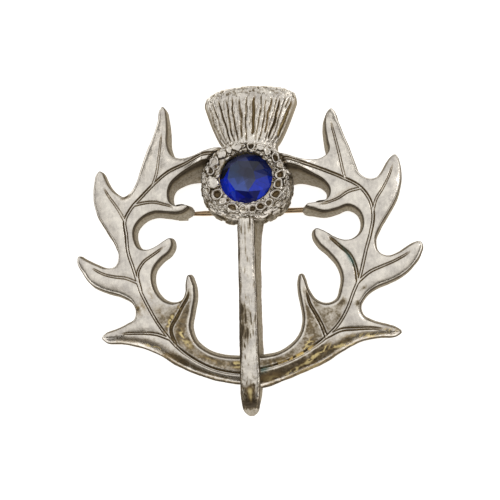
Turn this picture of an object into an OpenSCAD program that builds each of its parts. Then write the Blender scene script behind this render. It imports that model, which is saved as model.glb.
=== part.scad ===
// Thistle brooch: a white metal casting of a thistle in a wreath of leaves, with a cut blue glass
// stone in its bulb and a hinged steel pin on its back. Sizes are in millimetres.
// X runs across the wreath, Y runs up the stem to the flower head, and Z comes out of the front.
// The brooch lies on its back: Z = 0 is the surface that it rests on, and the origin is on that
// surface, under the middle of the outline.

/* [Casting] */
// Height of the back above the resting surface, at the middle of the brooch
back_height = 3.4; // [3.3:0.05:3.6]
// Radius that the back is bent to along the stem
bend_y = 102; // [101:1:130]
// Radius that the back is bent to across the wreath
bend_x = 220; // [160:5:400]
// Depth of the leaves at their edge, far from the bulb
leaf_depth = 2.25; // [1.8:0.05:2.8]
// How much thinner the leaves get from the ring of the main veins to their tips
tip_thin = 0.7; // [0:0.1:0.9]
// Extra depth of the two upper arms where they meet the bulb
arm_rise = 4.8; // [2.5:0.1:5.0]
// Distance over which that extra depth dies away
arm_fall = 4.5; // [2.5:0.1:5.0]
// Outward slope of the edge walls, as a share of their depth
draft = 0.18; // [0.1:0.01:0.25]
// Rounding at the front edge of a leaf
edge_round = 0.4; // [0.2:0.05:0.6]
// How far the middle of a leaf's blade stands above its edge
crown = 0.25; // [0:0.05:0.5]
// Depth of the veins cut into the leaves
vein_depth = 0.5; // [0.2:0.05:0.8]
// Half the width of a vein, between its raised lips
vein_half = 0.35; // [0.2:0.05:0.5]
/* [Bulb] */
// Half the width of the bulb
bulb_rx = 7.25; // [7.0:0.05:7.6]
// Half the height of the bulb, along the stem
bulb_ry = 6.3; // [6.0:0.05:6.6]
// Height of the bulb's face above the back
bulb_height = 6.7; // [6.2:0.1:7.2]
// Number of grains in the ring round the stone
grain_count = 17; // [14:1:20]
// Radius of a grain
grain_r = 0.78; // [0.6:0.02:0.9]
/* [Stone] */
// Radius of the stone at its girdle
stone_r = 4.25; // [4.0:0.05:4.4]
// Radius of the stone's table
table_r = 2.55; // [2.0:0.05:2.9]
// Height of the table above the girdle
crown_h = 1.35; // [1.0:0.05:1.6]
// Gap between the stone and its seat
stone_gap = 0.08; // [0.05:0.01:0.12]
/* [Flower head] */
// Number of strands across the front of the head
strand_count = 18; // [14:1:20]
// Half the width of the head at the neck
neck_half = 3.3; // [3.0:0.1:3.6]
// Half the width of the head at its lip
lip_half = 6.4; // [6.0:0.1:6.7]
/* [Pin] */
// Diameter of the pin wire
wire_d = 0.85; // [0.8:0.05:1.0]
// Diameter of the wire at the point
point_d = 0.3; // [0.2:0.05:0.4]
// Clearance of the eye on its rivet
rivet_gap = 0.05; // [0.03:0.01:0.08]

/* [Hidden] */

// Shape of the plate: height of its back, depth, and height of its front, at a place on the plan
bulb_at = [-0.1, 10.6];
arm_at = [0, 14];
arm_start = 7;
function back_z(p) = back_height - p.y * p.y / (2 * bend_y) - p.x * p.x / (2 * bend_x);
ring_r = 21;
tip_reach = 6.5;
function depth(p) = leaf_depth - tip_thin * min(1, max(0, norm([p.x, p.y]) - ring_r) / tip_reach)
    + arm_rise * exp(-max(0, norm([p.x, p.y] - arm_at) - arm_start) / arm_fall);
function front_z(p) = back_z(p) + depth(p);

// The leaves of one wing, from the bulb round the outer side to the stem and back up the inner
// side. A row is one lobe: the step of the main vein that its own vein leaves, the points of that
// vein, the outline up to its tip from the hollow before it, its tip, and the outline after it.
JOINT = 0;
VEIN = 1;
RISE = 2;
TIP = 3;
FALL = 4;
outer_lobes = 4;

left_main = [[-3, 15.1], [-7, 14.9], [-10, 13.9], [-12.8, 12.9], [-15.1, 11.2], [-17.2, 9.2],
    [-19.2, 7], [-20, 5.4], [-19.8, 3], [-19.5, 0], [-18.8, -2.2], [-18.2, -4.2], [-17.5, -6.4],
    [-16.4, -8.7], [-14.9, -11.4], [-13.2, -13.8], [-11.2, -15.9], [-8.7, -17.7], [-6, -19],
    [-3, -19.7], [0, -19.9]];
left_lobes = [
    [9, [[-14.8, 12.8], [-14.45, 15.3], [-14.2, 17.9], [-14.05, 20.6]],
        [[-2.5, 15.4], [-4.8, 16], [-7, 15.5], [-9, 15.1], [-11, 15.1], [-12.3, 15.8], [-13.1, 17.6],
            [-13.2, 20.6], [-13.35, 22.9], [-13.6, 24]],
        [-13.95, 24.4],
        [[-14.35, 24], [-14.6, 22.2], [-15.3, 19.9], [-16.6, 16.9], [-17.5, 14], [-18.35, 11.4], [-19.2, 10.1]]],
    [14, [[-20.9, 6.9], [-21.8, 8.3], [-22.9, 9.9], [-23.9, 11.7]],
        [[-20.3, 9.5], [-21.5, 9.9], [-22.6, 11.1], [-23.4, 12.7], [-23.75, 13.5]],
        [-24.2, 13.9],
        [[-24.65, 13.5], [-25.1, 12], [-25.25, 9.8], [-24.7, 7.1], [-23.35, 4.4], [-21.7, 1.6]]],
    [21, [[-20, -4], [-21.7, -3.7], [-23.4, -3.2], [-25.6, -2.1]],
        [[-21.15, -0.5], [-21.65, -1.8], [-23.1, -2.2], [-25, -1.5], [-27, -0.4]],
        [-28, 0.1],
        [[-28.15, -0.5], [-27.2, -2.7], [-25.6, -4.7], [-23.4, -5.8], [-20.8, -6.7], [-19.1, -7.8]]],
    [28, [[-15, -13.2], [-17, -12.9], [-19.2, -12.8], [-21.6, -12.8]],
        [[-18.45, -9.3], [-18.7, -10.5], [-20.1, -11.4], [-22.2, -12.2], [-23.8, -12.7]],
        [-24.3, -13.2],
        [[-23.9, -13.7], [-21, -14.2], [-18, -14.9], [-15.4, -16], [-12, -18.1], [-8.5, -19.7],
            [-5, -20.8], [-2, -21.3], [0.5, -21.4]]],
    [29, [[-12.7, -12.3], [-11.8, -10.4], [-10.7, -8.5], [-10.2, -6.4]],
        [[0.8, -19.5], [0.5, -17.7], [-2.5, -17.35], [-5, -17.1], [-7.5, -16.1], [-9.3, -14.4],
            [-9.9, -12.4], [-9.5, -9.8], [-9.05, -7.2], [-9.3, -5.1]],
        [-9.9, -3.95],
        [[-10.15, -4.7], [-10.3, -6.5], [-11, -7.9]]],
    [22, [[-17.9, -2.9], [-17, -1.5], [-15.6, -0.5], [-13.8, 0.7]],
        [[-12.2, -8.35], [-13.7, -8], [-15.1, -6.7], [-15.95, -4.9], [-15.85, -2.8], [-14.6, -1.1],
            [-13, 0.2], [-12.5, 1.3]],
        [-12.8, 2.2],
        [[-13.4, 1.95], [-14.9, 1.05], [-16.5, 0.5]]],
    [12, [[-16.8, 8.15], [-15.2, 8.15], [-13.6, 7.7], [-11.6, 7]],
        [[-17.8, 0.75], [-18.6, 2.2], [-18.6, 4.1], [-17.4, 5.7], [-15.3, 6.6], [-13, 6.4], [-11.2, 6.2],
            [-10.2, 6.5]],
        [-9.65, 7.1],
        [[-10.4, 7.35], [-11.5, 7.3], [-12.6, 7.95], [-12.95, 9.3], [-12.5, 11], [-11, 12.3],
            [-9, 13.3], [-6.5, 14], [-3, 14.2]]]];

right_main = [[3, 13.6], [6, 13.8], [9, 13.3], [12, 12.4], [15.2, 11.1], [17.9, 9.6], [19.4, 7.5],
    [19.9, 5], [19.4, 2], [18.6, -0.8], [18, -3.2], [17.5, -5], [16.4, -7.5], [15.4, -10],
    [14, -12.3], [11.9, -14.4], [9.5, -16.1], [6.5, -17.7], [3.2, -18.8], [0, -19.4]];
right_lobes = [
    [9, [[15.2, 12.8], [14.8, 15], [14.25, 17.6], [13.7, 20.6]],
        [[2.5, 14.6], [5, 14.8], [7.5, 14.2], [10, 14], [11.9, 14.4], [13.15, 15.7], [12.95, 17.7],
            [12.65, 20.2], [12.8, 22.2], [13.2, 23.1]],
        [13.6, 23.4],
        [[14.05, 23], [14.6, 21.4], [15.5, 18.8], [16.45, 16.2], [17.25, 13.7], [18, 11.9]]],
    [14, [[20.5, 7.6], [21.4, 9.1], [22.3, 10.8], [23.1, 13.2]],
        [[19.6, 11.05], [20.9, 11.5], [21.8, 12.7], [22.65, 14.3], [23.25, 15.1]],
        [23.7, 15.3],
        [[24.1, 14.9], [24.5, 13.3], [24.5, 10.9], [23.7, 8], [22.3, 5.4], [20.9, 3.1]]],
    [22, [[19.2, -4.2], [21.2, -3.3], [23.4, -2.3], [25.8, -0.9]],
        [[20.1, 1], [20.5, -0.8], [21.9, -1.65], [23.8, -1.1], [25.6, 0.1], [26.6, 0.65]],
        [27.3, 0.75],
        [[27.6, 0.35], [27.3, -1.2], [26.1, -3], [24.5, -4.5], [22.2, -5.7], [20, -6.6], [18.4, -7.8]]],
    [29, [[14.5, -13.3], [16.5, -13.2], [19, -13.1], [21.6, -13.3]],
        [[17.4, -9.9], [17.9, -11.2], [19.5, -12.1], [21.8, -12.7], [23.2, -13.2]],
        [23.75, -13.7],
        [[23.3, -14.1], [20.5, -14.4], [17.3, -15], [14.5, -16.4], [11.5, -18.2], [8, -19.7],
            [4.5, -21], [2, -21.8], [-0.5, -21.9]]],
    [29, [[11.3, -12.7], [10.4, -10.8], [9.5, -9.1], [8.9, -6.8]],
        [[-0.8, -19.4], [-0.5, -17.5], [2, -17.25], [4.3, -16.8], [6.4, -15.6], [7.9, -13.9], [8.5, -11.6],
            [8.2, -8.8], [7.9, -6.6], [8, -5]],
        [8.25, -4.35],
        [[8.55, -4.9], [9.1, -6.6], [10.2, -8.4]]],
    [22, [[16.9, -3.6], [16, -1.4], [14.7, -0.2], [12.7, 1.6]],
        [[12.3, -9.2], [13.8, -8.6], [14.6, -6.7], [14.9, -4.8], [14.3, -2.7], [12.9, -0.8],
            [11.3, 0.75], [10.6, 2.15]],
        [10.75, 3],
        [[11.7, 2.8], [13.5, 1.75], [15.2, 1.15]]],
    [13, [[16.6, 8.8], [14.8, 7.9], [12.8, 7.15], [10.8, 6.8]],
        [[17, 1.4], [18.1, 2.6], [18.35, 4.1], [17.7, 5.8], [16, 6.7], [14.2, 6.1], [12.3, 5.7], [10.7, 6.05]],
        [9.4, 6.65],
        [[10.4, 7], [12, 7.25], [13, 8.1], [13.2, 9.3], [12.4, 10.6], [10.6, 11.7], [8.3, 12.7],
            [6, 12.9], [3, 12.6]]]];

// Steps along the main vein, along a lobe's vein, and round its tip
main_steps = 38;
vein_steps = 7;
tip_steps = 3;
curve_steps = 6;
tip_crowd = 1.35;

// A smooth curve through points: each tangent weighs the nearer neighbour more
function unit(v) = v / max(norm(v), 0.000001);
function tangent(p, i) =
    let (a = p[i] - p[max(i - 1, 0)], b = p[min(i + 1, len(p) - 1)] - p[i])
    unit(unit(a) * norm(b) + unit(b) * norm(a) + (norm(a) * norm(b) == 0 ? a + b : [0, 0]));
function between(p, i, t) =
    let (c = norm(p[i + 1] - p[i]), u = t * t, w = t * t * t)
    p[i] * (2 * w - 3 * u + 1) + tangent(p, i) * c * (w - 2 * u + t)
    + p[i + 1] * (3 * u - 2 * w) + tangent(p, i + 1) * c * (w - u);
function curve(p, first, last) = concat(
    [for (i = [first:last - 1]) for (k = [0:curve_steps - 1]) between(p, i, k / curve_steps)],
    [p[last]]);

// Points along a line of points, the last one left out: at equal steps, or crowded by a power
// above 1 towards its start, or by one under 1 towards its end
function travelled(p) =
    [for (i = 0, s = 0; i < len(p); s = s + norm(p[min(i + 1, len(p) - 1)] - p[i]), i = i + 1) s];
function spaced(p, count, power = 1) =
    let (s = travelled(p), total = s[len(s) - 1],
        xs = [for (i = [0:len(p) - 1]) [s[i], p[i].x]],
        ys = [for (i = [0:len(p) - 1]) [s[i], p[i].y]])
    [for (k = [0:count - 1]) let (at = total * pow(k / count, power)) [lookup(at, xs), lookup(at, ys)]];
function whole(p, steps) = concat(spaced(curve(p, 0, len(p) - 1), steps), [p[len(p) - 1]]);

// Places of the vein tree: the main vein's, then each lobe's from its first step to its end
function vein_of(lobes, main_at, n) = whole(concat([main_at[lobes[n][JOINT]]], lobes[n][VEIN]), vein_steps);
function tree(lobes, main_at) = concat(main_at,
    [for (n = [0:len(lobes) - 1]) let (v = vein_of(lobes, main_at, n)) for (k = [1:vein_steps]) v[k]]);
function vein_place(n, k) = main_steps + n * vein_steps + k;

// The step of the main vein that faces the hollow before lobe n
function hollow(lobes, n) =
    n == 0 || n == len(lobes) ? 0
    : n == outer_lobes ? main_steps
    : round((lobes[n - 1][JOINT] + lobes[n][JOINT]) / 2);
function side(n) = n < outer_lobes ? 1 : -1;
function way_up(lobes, n) = concat(
    [for (k = [hollow(lobes, n):side(n):lobes[n][JOINT]]) k],
    [for (k = [1:vein_steps - 1]) vein_place(n, k)],
    [for (k = [1:tip_steps]) vein_place(n, vein_steps)]);
function way_down(lobes, n) = concat(
    [for (k = [0:tip_steps]) vein_place(n, vein_steps)],
    [for (k = [vein_steps - 1:-1:1]) vein_place(n, k)],
    [for (k = [lobes[n][JOINT]:side(n):hollow_after(lobes, n) - side(n)]) k]);
function hollow_after(lobes, n) = n == outer_lobes - 1 ? main_steps : hollow(lobes, n + 1);

// The closed outline as one list, the places in it where each lobe starts, and its even points,
// which match the walk round the vein tree one for one
function outline_of(lobes) = [for (lobe = lobes) for (p = concat(lobe[RISE], [lobe[TIP]], lobe[FALL])) p];
function starts(lobes) =
    [for (n = 0, s = 0; n <= len(lobes); s = s + (n < len(lobes) ? len(lobes[n][RISE]) + 1 + len(lobes[n][FALL]) : 0),
        n = n + 1) s];
function edge_points(lobes) =
    let (once = outline_of(lobes), count = len(once), loop = concat(once, once, once), s = starts(lobes))
    [for (n = [0:len(lobes) - 1])
        let (first = count + s[n], tip = first + len(lobes[n][RISE]), last = count + s[n + 1])
        for (p = concat(spaced(curve(loop, first, tip), len(way_up(lobes, n)), 1 / tip_crowd),
            spaced(curve(loop, tip, last), len(way_down(lobes, n)), tip_crowd))) p];
function walk(lobes) = [for (n = [0:len(lobes) - 1]) for (k = concat(way_up(lobes, n), way_down(lobes, n))) k];

// One wing as a closed shell. Its cross-section runs from the back edge up the wall, over the
// shoulder and the blade's crown to the lip of the vein and down to the vein's floor.
function wall_flare(d) = draft * d + 0.12 * max(0, d - 3.4);
function section(p, q, n) =
    let (reach = norm(q - p), inward = unit(q - p), d = depth(p), foot = p + n * wall_flare(d)
            - d * [p.x / bend_x, p.y / bend_y],
        shoulder = p + inward * min(edge_round, 0.3 * reach), middle = (p + q) / 2,
        lip = q - inward * min(vein_half, 0.25 * reach))
    [[foot.x, foot.y, back_z(foot)],
        [p.x, p.y, front_z(p) - edge_round],
        [shoulder.x, shoulder.y, front_z(shoulder) - 0.05],
        [middle.x, middle.y, front_z(middle) + crown * min(1, reach / 2.5)],
        [lip.x, lip.y, front_z(lip) + crown / 2]];
module wing(lobes, main_line, turn) {
    main_at = whole(main_line, main_steps);
    nodes_at = tree(lobes, main_at);
    way = walk(lobes);
    edge = edge_points(lobes);
    count = len(edge);
    normals = [for (i = [0:count - 1])
        let (t = unit(edge[(i + 1) % count] - edge[(i + count - 1) % count])) turn * [t.y, -t.x]];
    sections = [for (i = [0:count - 1]) section(edge[i], nodes_at[way[i]], normals[i])];
    rows = len(sections[0]);
    floors = [for (p = nodes_at) [p.x, p.y, front_z(p) - vein_depth]];
    backs = [for (p = nodes_at) [p.x, p.y, back_z(p)]];
    points = concat([for (r = [0:rows - 1]) for (s = sections) s[r]], floors, backs);
    top = rows * count;
    base = top + len(nodes_at);
    strips = [for (r = [0:rows - 2]) for (i = [0:count - 1]) let (j = (i + 1) % count)
        for (f = [[r * count + i, r * count + j, (r + 1) * count + j],
            [r * count + i, (r + 1) * count + j, (r + 1) * count + i]]) f];
    closing = [for (i = [0:count - 1]) let (j = (i + 1) % count, a = way[i], b = way[j], last = (rows - 1) * count)
        for (f = concat([[last + i, last + j, top + b], [j, i, base + a]],
            a == b ? [] : [[last + i, top + b, top + a], [j, base + a, base + b]])) f];
    faces = concat(strips, closing);
    polyhedron(points, turn > 0 ? [for (f = faces) [f[0], f[2], f[1]]] : faces);
}

// A closed solid lofted through rings with the same number of points
module loft(rings) {
    n = len(rings[0]);
    m = len(rings);
    points = [for (ring = rings) for (p = ring) p];
    sides = [for (r = [0:m - 2]) for (i = [0:n - 1]) let (j = (i + 1) % n)
        for (f = [[r * n + i, (r + 1) * n + j, r * n + j], [r * n + i, (r + 1) * n + i, (r + 1) * n + j]]) f];
    ends = [[for (i = [0:n - 1]) i], [for (i = [n - 1:-1:0]) (m - 1) * n + i]];
    polyhedron(points, concat(sides, ends));
}

// The bulb: a cushion whose rows give its height and its size as a share of the widest ring
HEIGHT = 0;
SHARE = 1;
bulb_rows = [[0, 1], [1.6, 1.01], [3.2, 0.99], [4.6, 0.94], [5.6, 0.87], [6.3, 0.79], [6.7, 0.70]];
bulb_sides = 40;
function bulb_point(a, row) =
    let (c = cos(a), s = sin(a), full = pow(pow(abs(c), 2.4) + pow(abs(s), 2.4), -1 / 2.4))
    [bulb_at.x + bulb_rx * row[SHARE] * full * c, bulb_at.y + bulb_ry * row[SHARE] * full * s,
        back_z(bulb_at) + row[HEIGHT] * bulb_height / 6.7];
module bulb_body() {
    loft([for (r = [0:len(bulb_rows) - 1])
        [for (i = [0:bulb_sides - 1]) bulb_point(360 * (i - r / 2) / bulb_sides, bulb_rows[r])]]);
}

// The grains: rings of small beads, each set by its share of the bulb's size and its height.
// The ring round the stone carries the larger ones.
RADIUS = 2;
NUMBER = 3;
grain_rows = [[6.25, 0.735, 1, 0], [5.4, 0.86, 0.95, 3], [4, 0.93, 0.9, 5]];
bead_heights = [-0.98, -0.6, 0, 0.6, 0.98];
bead_sides = 6;
module bead(r) {
    loft([for (k = [0:len(bead_heights) - 1])
        let (z = bead_heights[k], around = r * sqrt(1 - z * z))
        [for (i = [0:bead_sides - 1])
            let (a = 360 * (i - k / 2) / bead_sides) [around * cos(a), around * sin(a), r * z]]]);
}
module grains() {
    for (row = grain_rows) {
        number = grain_count + row[NUMBER];
        for (i = [0:number - 1]) {
            turn = 360 * (i + 0.25 * row[NUMBER]) / number;
            place = bulb_point(turn, row);
            if (place.y > 6.2 || abs(place.x) > 2.6 || row[HEIGHT] > 5)
                translate(place)
                    rotate(turn)
                        bead(grain_r * row[RADIUS]);
        }
    }
}

// The stone: a table, eight star facets, eight mains and a girdle, over an eight-sided pavilion
// It is set leaning back towards the flower head, so its lower edge stands highest.
stone_at = [0, 10.95, back_z(bulb_at) + 5.15];
stone_tilt = [-11, -6, 0];
girdle_h = 0.3;
pavilion_h = 2.3;
culet_r = 0.8;
function stone_ring(r, z, number, shift) =
    [for (i = [0:number - 1]) [r * cos(360 * (i + shift) / number), r * sin(360 * (i + shift) / number), z]];
module gem(gap) {
    hull() {
        polyhedron_points(stone_ring(stone_r + gap, 0, 16, 0));
        polyhedron_points(stone_ring(stone_r + gap, -girdle_h, 16, 0));
        polyhedron_points(stone_ring((stone_r + table_r) / 2 + 0.12 + gap, crown_h * 0.62 + gap, 8, 0));
        polyhedron_points(stone_ring(table_r + gap, crown_h + gap, 8, 0.5));
        polyhedron_points(stone_ring(culet_r + gap, -girdle_h - pavilion_h - gap, 8, 0));
    }
}
// A thin solid under a ring of points, for use inside a hull
module polyhedron_points(ring) {
    n = len(ring);
    middle = [0, 0, ring[0].z - (ring[0].z > 0 ? 0.02 : -0.02)];
    polyhedron(concat(ring, [middle]),
        concat([[for (i = [n - 1:-1:0]) i]], [for (i = [0:n - 1]) [i, (i + 1) % n, n]]));
}
module stone() {
    color("mediumblue")
        translate(stone_at)
            rotate(stone_tilt)
                gem(0);
}

// The seat: the stone's own shape with a gap, open to the front through a round mouth
mouth_r = stone_r + 0.1;
mouth_sides = 32;
mouth_h = 4;
dish_r = 4.8;
dish_depth = 1.6;
module seat() {
    translate(stone_at)
        rotate(stone_tilt) {
            gem(stone_gap);
            loft([stone_ring(mouth_r, 0, mouth_sides, 0), stone_ring(mouth_r, mouth_h, mouth_sides, -0.5)]);
        }
}

// The dish in the back of the bulb, a shallow cap of a large ball
module dish() {
    ball_r = (dish_r * dish_r + dish_depth * dish_depth) / (2 * dish_depth);
    translate([bulb_at.x, bulb_at.y, back_z(bulb_at) + dish_depth - ball_r])
        sphere(r = ball_r, $fn = 48);
}

// The flower head: a fan with a rounded lip, and raised strands that run from the neck to the lip
head_x = 0.3;
neck_y = 17.3;
lip_y = 25.6;
head_depth = 5.1;
lip_r = 1.25;
function head_point(u, t) =
    let (y = neck_y + (lip_y - 1.15 * u * u - neck_y) * t, w = neck_half + (lip_half - neck_half) * pow(max(0, t), 0.9),
        x = head_x + 0.35 * t + w * sin(78 * u) / sin(78))
    [x, y + 0.3 * t * u, back_z([x, y]) + head_depth - 2.6 * (1 - cos(80 * u)) - 0.5 * t * t];
module head() {
    for (part = [0:5])
        hull()
            for (u = [-1 + part / 3, -1 + (part + 1) / 3])
                for (t = [-0.15, 0.4, 1]) {
                    p = head_point(u, t);
                    translate([p.x * 0.985, p.y, p.z - lip_r * 0.95])
                        sphere(r = lip_r * (t == 1 ? 1.12 : 0.95), $fn = 12);
                    translate([p.x * 0.94, p.y, back_z(p)])
                        cylinder(h = 1, r = 0.5, $fn = 8);
                }
    for (i = [0:strand_count - 1]) {
        u = (i + 0.5) / strand_count * 2 - 1;
        hull() {
            translate(head_point(u, 0.06) - [0, 0, 0.22])
                sphere(r = 0.3, $fn = 6);
            translate(head_point(u, 0.5) - [0, 0, 0.2])
                sphere(r = 0.36, $fn = 6);
            translate(head_point(u, 0.93) - [0, 0, 0.25])
                sphere(r = 0.45, $fn = 6);
        }
    }
}

// The stem: a round-topped bar. A row gives its place along Y, its middle, half its width at the
// front, the reach of its foot on the right, and the height of its top above the back.
stem_rows = [
    [6, -0.35, 1.35, 2.9, 4.6], [3.8, -0.35, 1.35, 2.5, 4.3], [2, -0.35, 1.35, 2.1, 4.2],
    [-2, -0.3, 1.35, 1.95, 4], [-10, -0.3, 1.4, 1.9, 3.9], [-17, -0.3, 1.5, 1.95, 3.9],
    [-20.5, -0.3, 1.6, 1.95, 3.9], [-23, -0.25, 1.45, 1.6, 3.6], [-24.8, -0.25, 1.25, 1.15, 2.9],
    [-25.8, -0.3, 0.95, 0.8, 2.1], [-26.2, -0.3, 0.55, 0.5, 1.2]];
ALONG = 0;
MIDDLE = 1;
HALF = 2;
FOOT = 3;
TOP = 4;
foot_left = 0.2;
function stem_ring(row) =
    let (z = max(0, back_z([0, row[ALONG]])), side_z = z + row[TOP] * 0.55)
    concat([[row[MIDDLE] + row[FOOT], row[ALONG], z]],
        [for (a = [0:22.5:180])
            [row[MIDDLE] + row[HALF] * cos(a), row[ALONG], side_z + row[TOP] * 0.45 * sin(a)]],
        [[row[MIDDLE] - min(row[HALF] + foot_left, row[FOOT]), row[ALONG], z]]);
module stem() {
    loft([for (row = stem_rows) stem_ring(row)]);
}

// The pin's fittings, soldered to the backs of the two thumbs: a hinge with its rivet on the
// right, and on the left a clip with two cheeks, open away from the back
pin_y = 6.85;
pin_z = 1.25;
hinge_x = 12.6;
clip_x = -11;
eye_r = 1.15;
eye_w = 0.8;
rivet_r = 0.45;
lug_w = 0.45;
lug_gap = 0.06;
cheek_w = 0.35;
clip_w = 1.6;
cheek_gap = 0.12;
module hinge() {
    top = back_z([hinge_x, pin_y]) + 0.5;
    for (s = [-1, 1])
        translate([hinge_x, pin_y + s * (eye_w / 2 + lug_gap + lug_w / 2), 0])
            hull() {
                translate([0, lug_w / 2, pin_z])
                    rotate([90, 0, 0])
                        cylinder(h = lug_w, r = pin_z, $fn = 24);
                translate([-pin_z, -lug_w / 2, top - 0.5])
                    cube([2 * pin_z, lug_w, 0.5]);
            }
    translate([hinge_x, pin_y + eye_w / 2 + lug_gap + lug_w / 2, pin_z])
        rotate([90, 0, 0])
            cylinder(h = eye_w + 2 * lug_gap + lug_w, r = rivet_r, $fn = 24);
}
module clip() {
    top = back_z([clip_x, pin_y]) + 0.5;
    for (s = [-1, 1])
        translate([clip_x - clip_w / 2, pin_y + s * (wire_d / 2 + cheek_gap + cheek_w / 2) - cheek_w / 2, 0])
            cube([clip_w, cheek_w, top]);
}

module casting() {
    color("silver")
        difference() {
            union() {
                wing(left_lobes, left_main, 1);
                wing(right_lobes, right_main, -1);
                bulb_body();
                grains();
                head();
                stem();
                hinge();
                clip();
            }
            seat();
            dish();
        }
}

// The pin: an eye on the rivet, a neck that narrows into the eye, the round wire, and its tapered
// point past the clip
neck_length = 1.6;
neck_r = 0.33;
point_length = 5;
wire_end = -12.6;
module pin() {
    color("rosybrown")
        difference() {
            union() {
                translate([hinge_x, pin_y + eye_w / 2, pin_z])
                    rotate([90, 0, 0])
                        cylinder(h = eye_w, r = eye_r, $fn = 48);
                translate([hinge_x, pin_y, pin_z])
                    rotate([0, -90, 0])
                        cylinder(h = neck_length, r1 = neck_r, r2 = wire_d / 2, $fn = 32);
                translate([hinge_x - neck_length, pin_y, pin_z])
                    rotate([0, -90, 0])
                        cylinder(h = hinge_x - neck_length - wire_end - point_length, r = wire_d / 2, $fn = 32);
                translate([wire_end + point_length, pin_y, pin_z])
                    rotate([0, -90, 0])
                        cylinder(h = point_length, r1 = wire_d / 2, r2 = point_d / 2, $fn = 32);
            }
            translate([hinge_x, pin_y + eye_w, pin_z])
                rotate([90, 0, 0])
                    cylinder(h = 2 * eye_w, r = rivet_r + rivet_gap, $fn = 48);
        }
}

casting();
stone();
pin();
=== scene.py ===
import math
import random

import bpy
import bmesh
import numpy as np
from mathutils import Matrix, Vector, noise
from mathutils.geometry import delaunay_2d_cdt
from mathutils.kdtree import KDTree


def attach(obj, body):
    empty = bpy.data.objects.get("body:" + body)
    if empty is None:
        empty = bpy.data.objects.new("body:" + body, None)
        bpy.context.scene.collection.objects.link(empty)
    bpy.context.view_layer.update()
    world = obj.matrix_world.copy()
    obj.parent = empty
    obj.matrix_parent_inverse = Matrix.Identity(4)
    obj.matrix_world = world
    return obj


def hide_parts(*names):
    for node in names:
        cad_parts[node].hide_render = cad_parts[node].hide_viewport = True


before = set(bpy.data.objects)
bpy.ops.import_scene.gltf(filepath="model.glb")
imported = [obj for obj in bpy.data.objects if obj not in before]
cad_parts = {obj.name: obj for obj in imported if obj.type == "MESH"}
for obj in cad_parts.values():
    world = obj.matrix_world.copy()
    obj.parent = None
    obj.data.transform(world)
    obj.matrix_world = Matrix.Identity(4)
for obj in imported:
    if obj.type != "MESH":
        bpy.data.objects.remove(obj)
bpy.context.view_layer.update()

# Lengths in this script are in millimetres, and MM turns them into Blender's metres
MM = 0.001

# The plate of the casting: its bent back, its depth and the flare of its walls
BACK_HEIGHT = 3.4
BEND = np.array([220.0, 102.0])
LEAF_DEPTH, RING_R = 2.25, 21.0
TIP_THIN, TIP_REACH = 0.7, 6.5
ARM_RISE, ARM_FALL, ARM_START, ARM_Y = 4.8, 4.5, 7.0, 14.0
DRAFT, DEEP_DRAFT, DEEP_FROM = 0.18, 0.12, 3.4
BULB_X, BULB_Y = -0.1, 10.6
BULB_RX, BULB_RY = 7.25, 6.3
BULB_POWER = 2.4


def back_z(x, y):
    return BACK_HEIGHT - y * y / (2 * BEND[1]) - x * x / (2 * BEND[0])


def depth(x, y):
    out = np.clip((np.hypot(x, y) - RING_R) / TIP_REACH, 0, 1)
    arm = np.maximum(0, np.hypot(x, y - ARM_Y) - ARM_START)
    return LEAF_DEPTH - TIP_THIN * out + ARM_RISE * np.exp(-arm / ARM_FALL)


def wall_flare(d):
    return DRAFT * d + DEEP_DRAFT * np.maximum(0, d - DEEP_FROM)


def bulb_share(x, y):
    """How far a place on the plan is from the middle of the bulb, as a share of the bulb's size."""
    across, along = np.abs(x - BULB_X) / BULB_RX, np.abs(y - BULB_Y) / BULB_RY
    return (across**BULB_POWER + along**BULB_POWER) ** (1 / BULB_POWER)


# Small helpers on arrays
def smoothstep(t):
    t = np.clip(t, 0, 1)
    return t * t * (3 - 2 * t)


def rising(value, start, width):
    """0 as far as start, and from there smoothly up to 1 over this width."""
    return smoothstep((value - start) / width)


def falling(value, end, width):
    """1, and smoothly down to 0 over this width before end."""
    return smoothstep((end - value) / width)


def bell(value, middle, width):
    return np.exp(-((value - middle) / width) ** 2)


def lumps(points, size, seed):
    """Smooth noise between about -1 and 1 at points, with lumps of this size."""
    shift = Vector((seed * 3.1, seed * 1.7, seed * 2.3))
    return np.array([noise.noise(Vector(p) / size + shift) for p in points.tolist()])


def layered(points, *layers):
    """The sum of layers of noise. A layer is its height, the size of its lumps and its seed."""
    return sum(height * lumps(points, size, seed) for height, size, seed in layers)


def columns(*values):
    """An array whose columns are these values, each an array or a single number."""
    return np.stack(np.broadcast_arrays(*values), axis=1)


def unit(v):
    return v / np.maximum(np.linalg.norm(v, axis=-1, keepdims=True), 1e-9)


def turned(v):
    """Vectors of the plan turned a quarter turn to the right."""
    return columns(v[:, 1], -v[:, 0])


def normals(one_way, other_way, place, axis):
    """The unit normals of a net of points from its two ways, so that the one at a place looks
    along an axis."""
    found = unit(np.cross(one_way, other_way))
    return -found if found[place][axis] < 0 else found


def evened(rows, times):
    """Rows evened out with their neighbours, apart from the first and the last."""
    for _ in range(times):
        rows[1:-1] = (rows[:-2] + 2 * rows[1:-1] + rows[2:]) / 4
    return rows


# Curves of the plan. A curve is first followed in steps of CURVE_STEP.
CURVE_STEP, LEAST_STEPS = 0.03, 4
LOT = 3000


def lengths(line):
    """How far along a line each of its points lies."""
    return np.concatenate([[0], np.cumsum(np.linalg.norm(np.diff(line, axis=0), axis=1))])


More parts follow.
